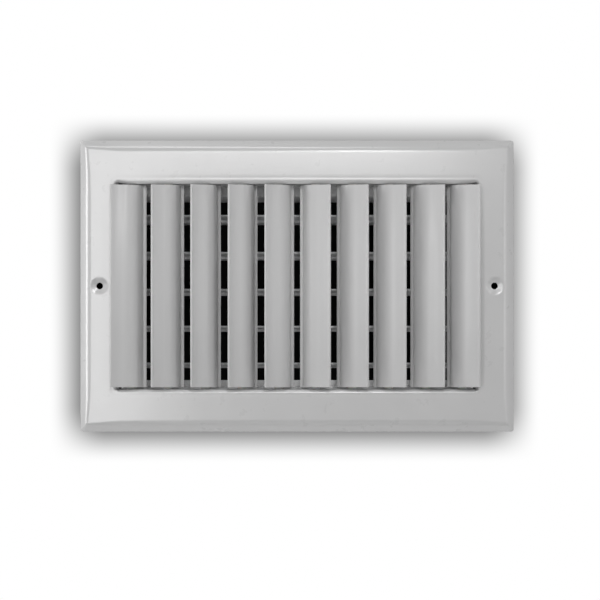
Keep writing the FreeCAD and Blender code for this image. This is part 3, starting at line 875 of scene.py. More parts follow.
@dataclass
class FaceFrame:
    """The stamped face: bevelled rim, flat, dished screw seats, rolled opening and flange."""

    shop: Workshop
    sheet: float = 1.0
    rim_depth: float = 6.5
    rim_width: float = 9.0
    slope_end: float = 4.73
    roll: float = 2.5
    opening: Flat = (246.8, 141.6)
    outline_corner: float = 2.0
    mitre_corner: float = 0.5
    opening_corner: float = 2.6
    flange_corner: float = 0.6
    edge_nick: float = 0.25
    dimple: float = 5.9
    screw_hole: float = 2.3
    seat_depth: float = 1.5
    seat_round: float = 0.35
    seat_strip: float = 9.0
    screw_x: float = 134.95
    relief: float = 3.0
    relief_start: float = 6.5
    shank_half: float = 2.46
    pivot_y: float = 8.5
    front_zone: float = 1.5
    lip_zone: float = 4.5
    waviness: float = 0.16
    sag: float = 1.35
    edge_sink: float = 0.14
    sag_above: float = 4.0
    sag_ends: Flat = (1.0, 9.0)
    sag_depth: Flat = (4.5, 2.9)
    wave_scale: float = 0.045
    sink_reach: float = 2.4
    corner_blend: Flat = (0.7, 0.3)
    corner_draw: float = 1.9
    draw_width: float = 7.0
    draw_reach: float = 13.0

    def __post_init__(self) -> None:
        """Reads the face's outline from the CAD."""
        low, high = corners_of("face_frame")
        self.front, self.back = low.y, high.y
        self.half = Vector((high.x, high.z))
        self.gap = (high.x - self.opening[0] / 2, high.z - self.opening[1] / 2)

    def stations(self) -> List[Ring]:
        """Rings round the sheet's section, from the wall edge over the front and back again.

        Returns:
            For each ring its inset from the outline in x and z, its depth and corner radius.
        """
        gap_x, gap_z = self.gap
        wide, inner = self.opening_corner + self.roll, self.flange_corner + self.sheet

        def rim(offset: float, steps: int) -> List[Ring]:
            skew = offset * math.sqrt(2)
            wall = self.front + self.rim_depth + skew
            line = [(d, wall - d) for d in (skew + (self.slope_end - skew) * i / 3
                                            for i in range(3))]
            centre = (self.rim_width - self.rim_depth) / math.tan(math.radians(22.5))
            for i in range(steps + 1):
                turn, bend = math.radians(45 * (1 - i / steps)), centre - offset
                line.append((self.rim_width - bend * math.sin(turn),
                             self.front + centre - bend * math.cos(turn)))
            step = self.mitre_corner - self.outline_corner
            return [(d, d, y, self.outline_corner + step * min(d / self.rim_width, 1.0))
                    for d, y in line]

        def flat(depth: float, sink: float, steps: int = 36) -> List[Ring]:
            found = []
            for i in range(1, steps):
                t = i / steps
                x, z = [self.rim_width + (gap - self.roll - self.rim_width) * t
                        for gap in (gap_x, gap_z)]
                near = max(0.0, 1.0 - (gap_x - x - self.roll) / self.sink_reach)
                late = max(0.0, (t - self.corner_blend[0]) / self.corner_blend[1])
                found.append((x, z, depth + sink * near ** 2,
                              self.mitre_corner + (wide - self.mitre_corner) * late))
            return found

        def rolled(offset: float, steps: int) -> List[Ring]:
            found, bend = [], self.roll - offset
            for i in range(steps + 1):
                share = i / steps
                turn = math.radians(90 * share)
                inset = self.roll - bend * math.sin(turn)
                found.append((gap_x - inset, gap_z - inset,
                              self.front + self.roll - bend * math.cos(turn),
                              wide * (1 - share) + (self.flange_corner + offset) * share))
            return found

        def flange(inset: float, depths: Sequence[float], corner: float) -> List[Ring]:
            return [(gap_x - inset, gap_z - inset, y, corner) for y in depths]

        along = (4.0, self.back - 6.0, self.back - 0.3)
        return (rim(0.0, 8) + flat(self.front, self.edge_sink) + rolled(0.0, 8)
                + flange(0.0, along, self.flange_corner)
                + flange(self.edge_nick, [self.back], self.flange_corner)
                + flange(self.sheet - self.edge_nick, [self.back], inner)
                + (rim(self.sheet, 6) + flat(self.front + self.sheet, 0.0)
                   + rolled(self.sheet, 6) + flange(self.sheet, along, inner))[::-1])

    def ring_points(self, inset_x: float, inset_z: float, radius: float) -> List[Flat]:
        """Points round one rounded rectangle, with a close pitch beside the screw seats.

        Args:
            inset_x: Inset from the outline at the sides.
            inset_z: Inset at the top and bottom.
            radius: Corner radius.

        Returns:
            The points, anticlockwise seen from the room.
        """
        hx, hz = self.half.x - inset_x, self.half.y - inset_z
        beyond = hz - radius - self.seat_strip
        fine = [i / 30 * self.seat_strip for i in range(-30, 31)]
        upward = ([f * beyond - self.seat_strip for f in (-0.8, -0.55, -0.3, -0.12)] + fine
                  + [f * beyond + self.seat_strip for f in (0.12, 0.3, 0.55, 0.8)])
        across = [(-1 + 2 * i / 40) * (hx - radius) for i in range(1, 40)]
        edges = ([(x, hz) for x in across[::-1]], [(-hx, z) for z in upward[::-1]],
                 [(x, -hz) for x in across], [(hx, z) for z in upward])
        points: List[Flat] = []
        corners = ((1, 1), (-1, 1), (-1, -1), (1, -1))
        for quarter, ((cx, cz), edge) in enumerate(zip(corners, edges)):
            start = math.radians(90 * quarter)
            points += arc((cx * (hx - radius), cz * (hz - radius)), radius, start,
                          start + math.radians(90), 6) + edge
        return points

    def dished(self, x: float, z: float) -> float:
        """Depth of the screw seats at a point of the face.

        Args:
            x: Place across, in millimetres.
            z: Place up.

        Returns:
            The depth, in millimetres.
        """
        reach = math.hypot(abs(x) - self.screw_x, z)
        depth = (self.dimple - reach) * self.seat_depth / (self.dimple - self.screw_hole)
        if depth < self.seat_round:
            return max(0.0, depth + self.seat_round) ** 2 / (4 * self.seat_round)
        return min(depth, self.seat_depth)

    def wavy(self, x: float, z: float, inset: float) -> Flat:
        """Small unevenness of the pressed edge, strongest at the opening.

        Args:
            x: Place across, in millimetres.
            z: Place up.
            inset: Share of the way from the rim to the opening, 0 to 1.

        Returns:
            Shift in the plane and in depth, in millimetres.
        """
        spot = Vector((x * self.wave_scale, 3.1, z * self.wave_scale))
        return (self.waviness * inset * noise.noise(spot),
                0.6 * self.waviness * inset * noise.noise(spot + Vector((9.0, 0.0, 4.0))))

    def sagged(self, x: float, z: float, depth: float) -> float:
        """How far the upper lip of the opening hangs at a place.

        Args:
            x: Place across, in millimetres.
            z: Place up.
            depth: Depth behind the flat.

        Returns:
            The drop, in millimetres.
        """
        beyond = (z - self.opening[1] / 2) / self.sag_above
        inside = (self.opening[0] / 2 + self.sag_ends[0] - abs(x)) / self.sag_ends[1]
        shallow = (self.sag_depth[0] - depth) / self.sag_depth[1]
        weights = [max(0.0, min(1.0, w)) for w in (1.0 - beyond, inside, shallow)]
        return self.sag * math.prod(weights) if z > 0.0 else 0.0

    def bowed(self, x: float, z: float, inset: float) -> Flat:
        """Draws the shoulder of the rim out towards each corner, as the press leaves it.

        Args:
            x: Place across, in millimetres.
            z: Place up.
            inset: The ring's inset from the outline.

        Returns:
            The new place.
        """
        near = max(0.0, 1.0 - abs(inset - self.rim_width) / self.draw_width)
        reach = math.hypot(max(0.0, self.half.x - inset - abs(x)),
                           max(0.0, self.half.y - inset - abs(z)))
        pull = near * self.corner_draw * math.exp(-(reach / self.draw_reach) ** 2)
        return x + math.copysign(pull, x), z + math.copysign(pull, z)

    def pressed(self, x: float, z: float, depth: float, inset: float) -> Point:
        """Place of a point of the skin once the press has shaped it.

        Args:
            x: Place across on the plain ring, in millimetres.
            z: Place up.
            depth: Depth of the ring.
            inset: The ring's inset from the outline.

        Returns:
            The point.
        """
        x, z = self.bowed(x, z, inset)
        z -= self.sagged(x, z, depth - self.front)
        y = depth
        if depth < self.front_zone:
            y += self.dished(x, z)
        if depth < self.lip_zone:
            share = (inset - self.rim_width) / (self.gap[0] - self.rim_width)
            shift, sink = self.wavy(x, z, max(0.0, min(1.0, share)) ** 2)
            if depth < self.front_zone:
                y += max(sink, 0.0)
            else:
                shift *= 0.4
            grow = 1.0 - shift / max(abs(x), abs(z) * 1.7)
            x, z = x * grow, z * grow
        return x, y, z

    def cutters(self) -> Thing:
        """Everything that is pierced through the face and its flange, as one tool.

        Returns:
            The tool.
        """
        parts, margin, over = [], 0.6, 0.8
        ox, oz = self.opening[0] / 2, self.opening[1] / 2
        for side in (-1, 1):
            bore = lathe("bore", [(0, -4), (self.screw_hole, -4), (self.screw_hole, 6), (0, 6)], 40)
            parts.append(turned(bore, -90, "X", (side * self.screw_x, 0, 0)))
            for end in (-1, 1):
                x, z = side * (ox + self.sheet + margin), end * (oz + self.sheet + margin)
                reach = self.relief + margin
                parts.append(block("relief", (x, self.relief_start, z),
                                   (x - side * reach, self.back + 1, z - end * reach)))
        for name in sorted(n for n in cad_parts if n.startswith("louvre_")
                           and n.endswith("_pins")):
            x, y, half = centre_of(name).x, self.pivot_y, self.shank_half
            for end in (-1, 1):
                parts.append(block("port", (x - half, y - half, end * (oz - over)),
                                   (x + half, y + half, end * (oz + self.sheet + over))))
        return joined("piercings", parts)

    def build(self) -> None:
        """Makes the face and fits it."""
        skin = ringed("painted_face", [
            [self.pressed(x, z, depth, inset_x) for x, z in
             self.ring_points(inset_x, inset_z, radius)]
            for inset_x, inset_z, depth, radius in self.stations()])
        face = settle(carved(skin, self.cutters()), 42.0)
        self.shop.fit(face, Slot.FACE, "register", "face_frame")


@dataclass
class Louvre:
    """One extruded louvre: flat, curve, tail and lip in front, stem and boss behind."""

    shop: Workshop
    number: int
    rest: float
    sheet: float = 1.2
    flat: float = 8.0
    curve: float = 14.0
    curve_angle: float = 62.0
    tail: float = 2.0
    lip: float = 2.2
    lip_angle: float = 10.0
    lip_bend: float = 0.9
    bead: float = 0.95
    stem: float = 1.0
    stem_angle: float = 48.0
    boss_half: float = 2.3
    pivot: Flat = (13.25, 13.1)
    pin: float = 1.5
    grip: float = 8.0
    top_cut: Flat = (-0.05, 1.5)
    foot_cut: Flat = (-1.1, 0.9)
    cut_run: Flat = (-16.4, 19.8)
    collar_room: float = 4.2

    def centre_line(self) -> List[Flat]:
        """Corners of the louvre's centre line from its tip.

        Returns:
            The tip, the bend of the curve, the bend of the lip and the end.
        """
        half = self.sheet / 2
        reach = (self.curve - half) * math.tan(math.radians(self.curve_angle / 2))
        steep, lip = math.radians(self.curve_angle), math.radians(self.lip_angle)
        bend = (self.flat + reach, half)
        tail = (bend[0] + math.cos(steep) * (reach + self.tail),
                bend[1] + math.sin(steep) * (reach + self.tail))
        return [(0.0, half), bend, tail,
                (tail[0] + math.cos(lip) * self.lip, tail[1] + math.sin(lip) * self.lip)]

    def section(self) -> List[Flat]:
        """Closed outline of the extrusion, about its pivot.

        Returns:
            The outline.
        """
        half = self.sheet / 2
        line = spread(self.centre_line(), [self.curve - half, self.lip_bend], 14)
        skin = thickened(line, self.sheet, 0.35)
        along = math.sqrt(self.bead ** 2 - half ** 2)
        # The outline runs along the back first, so the bead closes it at the tip.
        back = [p for p in skin if p[0] > along or p[1] > self.sheet + 0.01]
        start = math.atan2(-half, along)
        return self.with_stem(back + arc((0.0, half), self.bead, start,
                                         -start - 2 * math.pi, 12))

    def with_stem(self, outline: List[Flat]) -> List[Flat]:
        """Lets the stem and the pin boss grow from the back of the curve.

        Args:
            outline: Outline of the sheet and its bead.

        Returns:
            The outline with the stem, about the pivot.
        """
        root, inner = math.radians(self.stem_angle), self.curve - self.sheet
        foot = Vector((self.flat + math.sin(root) * inner, self.curve - math.cos(root) * inner))
        pivot = Vector(self.pivot)
        reach = (pivot - foot).length
        along = (pivot - foot) / reach
        across = Vector((-along.y, along.x))
        half, boss, low = self.stem / 2, self.boss_half, -reach - 0.1
        side = [tuple(pivot + along * far + across * wide) for far, wide in (
            (low, -half), (-boss, -half), (-boss, -boss), (boss, -boss),
            (boss, boss), (-boss, boss), (-boss, half), (low, half))]
        away = [(Vector(p) - foot).length for p in outline]
        before = Vector(outline[away.index(min(away)) - 2])
        if (Vector(side[0]) - before).length > (Vector(side[-1]) - before).length:
            side.reverse()
        clear = [i for i, far in enumerate(away) if far < half + 0.15]
        merged = outline[:min(clear)] + side + outline[max(clear) + 1:]
        return [(a - pivot.x, b - pivot.y) for a, b in merged]

    def trim_ends(self, slat: Thing, at: Vector, foot: float, top: float) -> None:
        """Lets the cut ends follow the flange towards the rim, clear of the bushings.

        Args:
            slat: The louvre.
            at: Its pivot, in millimetres.
            foot: Height of its lower end.
            top: Height of its upper end.
        """
        for vert in slat.data.vertices:
            x, y, z = vert.co / MM
            if math.hypot(x - at.x, y - at.y) < self.collar_room:
                continue
            share = max(0.0, min(1.0, (y - at.y - self.cut_run[0]) / self.cut_run[1]))
            for near, way, (least, most) in ((z > top - 1.0, 1, self.top_cut),
                                             (z < foot + 1.0, -1, self.foot_cut)):
                if near:
                    vert.co.z += way * (least + (most - least) * share) * MM

    def build(self) -> None:
        """Makes the louvre and its two pins and fits them."""
        node = "louvre_%02d" % self.number
        pins, hand = node + "_pins", 1 if self.number <= 5 else -1
        low, high = corners_of(node)
        at = centre_of(pins)
        (tip_x, tip_y), *_, (end_x, end_y) = self.centre_line()
        turn = math.radians(self.rest) - math.atan2(end_y - tip_y, end_x - tip_x)
        slat = self.shop.drawn_out(
            "louvre_slat_%02d" % self.number, [(hand * a, b, 0.0) for a, b in self.section()],
            (0, 0, high.z - low.z), (at.x, at.y, low.z), (0.0, 0.0, hand * turn), 0.22, 40.0)
        self.trim_ends(slat, at, low.z, high.z)
        self.shop.fit(slat, Slot.LOUVRE, node, node)
        foot, head = corners_of(pins)
        length = head.z - (high.z - self.grip)
        pin = wire_pin("louvre_pin_pair_%02d" % self.number, self.pin, length)
        pin = self.shop.row(pin, 2, (at.x, at.y, foot.z), (0, 0, head.z - length - foot.z))
        self.shop.fit(pin, Slot.WIRE, node, pins)


@dataclass
class BushingRow:
    """Ten nylon bushings in one side of the return flange."""

    shop: Workshop
    node: str
    name: str
    end: int
    collar: float = 3.0
    collar_depth: float = 1.2
    bore: float = 1.62
    shank: float = 2.42
    root: float = -0.4
    tail: float = 2.4
    opening_z: float = 70.8
    pitch: float = 25.4
    count: int = 10
    sides: int = 32

    def bushing(self) -> Thing:
        """One bushing, its collar down and its seat at height 0.

        Returns:
            The bushing.
        """
        r, d, c = self.collar, self.collar_depth, 0.25
        collar = lathe("collar", [(self.bore + c, -d), (r - c, -d), (r, -d + c), (r, 0),
                                  (self.bore, 0), (self.bore, -d + c)], self.sides)
        turns = [2 * math.pi * i / self.sides for i in range(self.sides)]
        loops = [[(self.shank * f * math.cos(a) / max(abs(math.cos(a)), abs(math.sin(a))),
                   self.shank * f * math.sin(a) / max(abs(math.cos(a)), abs(math.sin(a))), h)
                  for a in turns]
                 for h, f in ((self.root, 1.0), (self.tail - 0.5, 1.0), (self.tail, 0.9))]
        loops += [[(self.bore * math.cos(a), self.bore * math.sin(a), h) for a in turns]
                  for h in (self.tail, self.root)]
        return joined(self.name, [collar, ringed("shank", loops)])

    def build(self) -> None:
        """Makes the row and fits it."""
        part = turned(self.bushing(), 0 if self.end > 0 else 180, "X")
        low, high = corners_of(self.node)
        first = (-self.pitch * (self.count - 1) / 2, (low.y + high.y) / 2,
                 self.end * self.opening_z)
        row = self.shop.row(part, self.count, first, (self.pitch, 0, 0))
        self.shop.fit(row, Slot.BUSHING, "register", self.node)


@dataclass
class Channel:
    """One folded channel of the damper housing."""

    shop: Workshop
    node: str
    name: str
    sheet: float = 0.9
    bend: float = 1.0
    back_drop: float = 3.2

    def build(self) -> None:
        """Makes the channel and fits it."""
        low, high = corners_of(self.node)
        half = self.sheet / 2
        front, back, web = low.y + half, high.y - half, low.z + half
        line = spread([(front, high.z), (front, web), (back, web),
                       (back, high.z - self.back_drop)], [self.bend, self.bend], 6)
        piece = self.shop.side_on(self.name, thickened(line, self.sheet), low.x,
                                  high.x - low.x)
        self.shop.fit(piece, Slot.HOUSING, "register", self.node)


@dataclass
class SidePlate:
    """Side plate of the housing: a plate, its tongue along the flange and two folded tabs."""

    shop: Workshop
    node: str
    name: str
    side: int
    sheet: float = 0.9
    bend: float = 1.0
    front: float = 26.5
    tongue_half: float = 57.8
    tab_width: float = 29.0
    plate_x: float = 124.4
    tab_length: float = 13.0
    corner_cut: float = 1.0

    def blank(self, front: float, back: float, bottom: float, top: float) -> List[Flat]:
        """Outline of the flat plate with its tongue, its corners cut as a blanking tool does.

        Args:
            front: Front edge of the tongue.
            back: Back edge of the plate.
            bottom: Lower edge.
            top: Upper edge.

        Returns:
            The corners in depth and height.
        """
        corners = [(front, -self.tongue_half), (self.front, -self.tongue_half),
                   (self.front, bottom), (back, bottom), (back, top), (self.front, top),
                   (self.front, self.tongue_half), (front, self.tongue_half)]
        cut: List[Flat] = []
        for i, here in enumerate(corners):
            for other in (corners[i - 1], corners[(i + 1) % len(corners)]):
                step = Vector(other) - Vector(here)
                cut.append(tuple(Vector(here) + step.normalized()
                                 * min(self.corner_cut, step.length / 3)))
        return cut

    def build(self) -> None:
        """Makes the side plate and fits it."""
        low, high = corners_of(self.node)
        half, middle = self.sheet / 2, (self.front + high.y) / 2
        plate = self.shop.side_on(self.name, self.blank(low.y, high.y, low.z, high.z),
                                  self.side * self.plate_x, self.side * self.sheet, edge=0.0)
        reach, fold = self.plate_x - self.tab_length, self.plate_x + half
        line = spread([(reach, high.z - half), (fold, high.z - half), (fold, low.z + half),
                       (reach, low.z + half)], [self.bend, self.bend], 6)
        tabs = self.shop.drawn_out(
            "tabs", [(self.side * a, 0.0, b) for a, b in thickened(line, self.sheet)],
            (0, self.tab_width, 0), (0, middle - self.tab_width / 2, 0), edge=0.0)
        # The plate stops short of the bends, so that the folded strip alone forms them.
        aside, wide = self.tab_width / 2 + 0.8, 200
        tools = [block("notch", (-wide, middle - aside, edge + way * (self.bend + half)),
                       (wide, middle + aside, edge - way * 2))
                 for edge, way in ((high.z, -1), (low.z, 1))]
        whole = carved(carved(plate, joined("notches", tools)), tabs, "UNION")
        softened(whole, 0.12, 1, 60.0)
        self.shop.fit(settle(whole), Slot.HOUSING, "register", self.node)


@dataclass
class RivetSet:
    """Blind rivets with a domed head on one face and a rolled tail on the other."""

    shop: Workshop
    head: float = 3.0
    height: float = 0.8
    shank: float = 1.6
    flange_grip: float = 1.9
    channel_grip: float = 1.8

    def rivet(self, grip: float) -> Thing:
        """One rivet, its domed head below height 0 and its tail above the grip.

        Args:
            grip: Thickness that it holds.

        Returns:
            The rivet.
        """
        r, h, s = self.head, self.height, self.shank
        return lathe("rivet", [
            (0.0, -h * 0.45), (0.55, -h * 0.45), (0.75, -h), (r * 0.45, -h * 0.98),
            (r * 0.72, -h * 0.8), (r * 0.92, -h * 0.45), (r, -h * 0.12), (r, 0.0), (s, 0.0),
            (s, grip), (r * 0.82, grip), (r * 0.86, grip + h * 0.35), (r * 0.66, grip + h * 0.85),
            (r * 0.4, grip + h), (0.5, grip + h * 0.8), (0.0, grip + h * 0.5)], 24)

    def build(self) -> None:
        """Makes both sets of rivets and fits them."""
        low, high = corners_of("frame_rivets")
        grip, rows = self.flange_grip, []
        for side in (-1, 1):
            part = turned(self.rivet(grip), side * 90, "Y")
            x = side * (high.x - grip - self.height)
            rows.append(self.shop.row(part, 2, (x, (low.y + high.y) / 2, low.z + self.head),
                                      (0, 0, high.z - low.z - 2 * self.head)))
        self.shop.fit(settle(joined("flange_rivets", rows)), Slot.RIVET, "register",
                      "frame_rivets")
        low, high = corners_of("channel_rivets")
        grip, rows = self.channel_grip, []
        lift = grip + self.height
        for degrees, y, z in ((180, low.y + self.head, low.z + lift),
                              (0, high.y - self.head, high.z - lift)):
            part = turned(self.rivet(grip), degrees, "X")
            rows.append(self.shop.row(part, 2, (low.x + self.head, y, z),
                                      (high.x - low.x - 2 * self.head, 0, 0)))
        self.shop.fit(settle(joined("housing_rivets", rows)), Slot.RIVET, "register",
                      "channel_rivets")


@dataclass
class Vane:
    """One damper vane with its rod, crank ear and crank pin."""

    shop: Workshop
    number: int
    chord: float = 29.4
    sheet: float = 0.8
    hem: float = 4.5
    tube: float = 1.95
    tilt: float = 7.0
    sheet_end: float = 116.5
    rod: float = 1.5
    crank: Flat = (10.725, 8.999)
    ear: float = 3.2
    ear_foot: float = 4.5
    head: float = 2.6
    head_depth: float = 0.8
    overlap: float = 0.01

    def section(self) -> List[Flat]:
        """Outline of the sheet, its two folded hems and the tube along its middle.

        Returns:
            The outline.
        """
        half, c, fold = self.sheet / 2, self.chord / 2, self.sheet
        start = math.atan2(half, math.sqrt(self.tube ** 2 - half ** 2))
        over = arc((0.0, 0.0), self.tube, math.pi - start, start, 12)
        side = [(c - self.hem - 0.3, half), (c - self.hem, half + 0.06),
                (c - self.hem, half + fold)]
        side += arc((c - fold, half), fold, math.pi / 2, -math.pi / 2, 8)
        return over + side + [(-a, -b) for a, b in over] + [(-a, b) for a, b in side[::-1]]

    def build(self) -> None:
        """Makes the vane, its rod and its crank pin and fits them."""
        node = "damper_blade_%d" % self.number
        at = centre_of(node + "_rod")
        low, high = corners_of(node)
        leaf = self.shop.side_on("leaf", self.section(), low.x, self.sheet_end - low.x,
                                 (at.y, at.z), -self.tilt)
        r, reach = self.tube, high.x - self.sheet_end
        stub = lathe("stub", [(0, 0), (r, 0), (r, reach - 0.2), (r - 0.2, reach), (0, reach)], 28)
        turned(stub, 90, "Y", (self.sheet_end - self.overlap, at.y, at.z))
        eye = arc(self.crank, self.ear, math.radians(-10), math.radians(190), 14)
        ear = self.shop.side_on("ear", [(self.chord / 2, 0.0)] + eye + [(self.ear_foot, 0.0)],
                                self.sheet_end - self.sheet - self.overlap, self.sheet,
                                (at.y, at.z), -self.tilt)
        vane = joined("damper_vane_%d" % self.number, [leaf, stub, ear])
        self.shop.fit(settle(vane), Slot.VANE, node, node)

        low, high = corners_of(node + "_rod")
        rod = wire_pin("vane_rod_%d" % self.number, self.rod, high.x - low.x)
        turned(rod, 90, "Y", (low.x, at.y, at.z))
        self.shop.fit(settle(rod), Slot.WIRE, node, node + "_rod")

        low, high = corners_of(node + "_crank_pin")
        length, r, h = high.x - low.x, self.head, self.head_depth
        neck = length - h
        pin = lathe("vane_crank_pin_%d" % self.number,
                    [(0, 0), (1.2, 0), (self.rod, 0.3), (self.rod, neck), (r, neck),
                     (r, neck + h * 0.3), (r * 0.8, neck + h * 0.8), (r * 0.45, length),
                     (0, length)], 24)
        (v, n), lean = self.crank, math.radians(-self.tilt)
        c, s = math.cos(lean), math.sin(lean)
        turned(pin, 90, "Y", (low.x, at.y + v * c - n * s, at.z + v * s + n * c))
        self.shop.fit(settle(pin), Slot.LINKAGE, node, node + "_crank_pin")


@dataclass
class Linkage:
    """The lever on the middle vane and the strip that joins the five crank pins."""

    shop: Workshop
    sheet: float = 1.2
    width: float = 8.0
    reach: float = 21.5
    taper: float = 7.0
    shoulder: float = 3.2
    tab: float = 8.0
    tab_width: float = 6.0
    crank_radius: float = 14.0
    crank_angle: float = 40.0
    ear: float = 3.2
    tilt: float = 7.0
    strip_round: float = 3.3

    def build(self) -> None:
        """Makes the lever and the link strip and fits them."""
        high = corners_of("damper_lever")[1]
        at = centre_of("damper_blade_3_rod")
        turn = self.crank_angle - self.tilt
        half, tip, start, s = self.width / 2, self.tab_width / 2, -self.reach, self.shoulder
        eye = arc((self.crank_radius, 0.0), self.ear, math.radians(80), math.radians(-80), 12)
        outline = ([(start, tip), (start + self.taper, tip), (-s, half), (s, half)] + eye
                   + [(s, -half), (-s, -half), (start + self.taper, -tip), (start, -tip)])
        strap = self.shop.side_on("hand_lever", outline, high.x - self.sheet, self.sheet,
                                  (at.y, at.z), turn, 0.0)
        finger = [(start, -tip), (start + self.sheet, -tip), (start + self.sheet, tip),
                  (start, tip)]
        tab = self.shop.side_on("finger", finger, high.x - self.sheet / 2,
                                -self.tab - self.sheet / 2, (at.y, at.z), turn, 0.0)
        lever = carved(strap, tab, "UNION")
        softened(lever, 0.25, 2, 50.0)
        self.shop.fit(settle(lever), Slot.LINKAGE, "damper_blade_3", "damper_lever")

        low, high = corners_of("link_bar")
        r, quarter, outline = self.strip_round, math.pi / 2, []
        for i, (y, z) in enumerate(((high.y - r, high.z - r), (low.y + r, high.z - r),
                                    (low.y + r, low.z + r), (high.y - r, low.z + r))):
            outline += arc((y, z), r, i * quarter, (i + 1) * quarter, 6)
        strip = self.shop.side_on("link_strip", outline, low.x, high.x - low.x, edge=0.2)
        self.shop.fit(strip, Slot.LINKAGE, "link_bar", "link_bar")


# ---------------------------------------------------------------- studio

@dataclass(frozen=True)
class Lamp:
    """One rectangular lamp, in metres and watts."""

    name: str
    at: Point
    aim: Point
    size: Flat
    watts: float

    def hang(self) -> None:
        """Puts the lamp in the scene."""
        light = bpy.data.lights.new(self.name, "AREA")
        light.shape = "RECTANGLE"
        light.size, light.size_y = self.size
        light.energy = self.watts
        lamp = bpy.data.objects.new(self.name, light)
        lamp.location = self.at
        facing = Vector(self.aim) - Vector(self.at)
        lamp.rotation_euler = facing.to_track_quat("-Z", "Y").to_euler()
        bpy.context.scene.collection.objects.link(lamp)


LAMPS = (
    Lamp("tall_softbox", (-0.30, -0.72, -0.03), (0.0, 0.0, -0.03), (0.13, 0.64), 0.98),
    Lamp("wide_softbox", (0.0, -0.72, 0.27), (0.03, 0.0, 0.0), (0.46, 0.12), 0.92),
    Lamp("left_fill", (-0.80, -0.12, 0.05), (0.0, 0.0, 0.0), (0.30, 0.50), 1.90),
    Lamp("right_strip", (0.57, -0.49, 0.05), (0.0, 0.0, 0.05), (0.04, 0.80), 0.60),
    Lamp("right_edge", (0.80, -0.25, 0.05), (0.0, 0.0, 0.0), (0.30, 0.50), 0.12),
    Lamp("small_high", (0.10, -0.75, 0.44), (0.0, 0.0, 0.0), (0.10, 0.10), 0.80),
    Lamp("top_fill", (-0.10, -0.16, 0.80), (0.0, 0.0, 0.0), (0.50, 0.20), 0.88),
    Lamp("rear_right", (0.50, 0.90, 0.45), (0.0, 0.03, 0.0), (0.60, 0.50), 6.0),
    Lamp("rear_left", (-0.60, 0.85, 0.20), (0.0, 0.03, 0.0), (0.50, 0.60), 4.0),
)


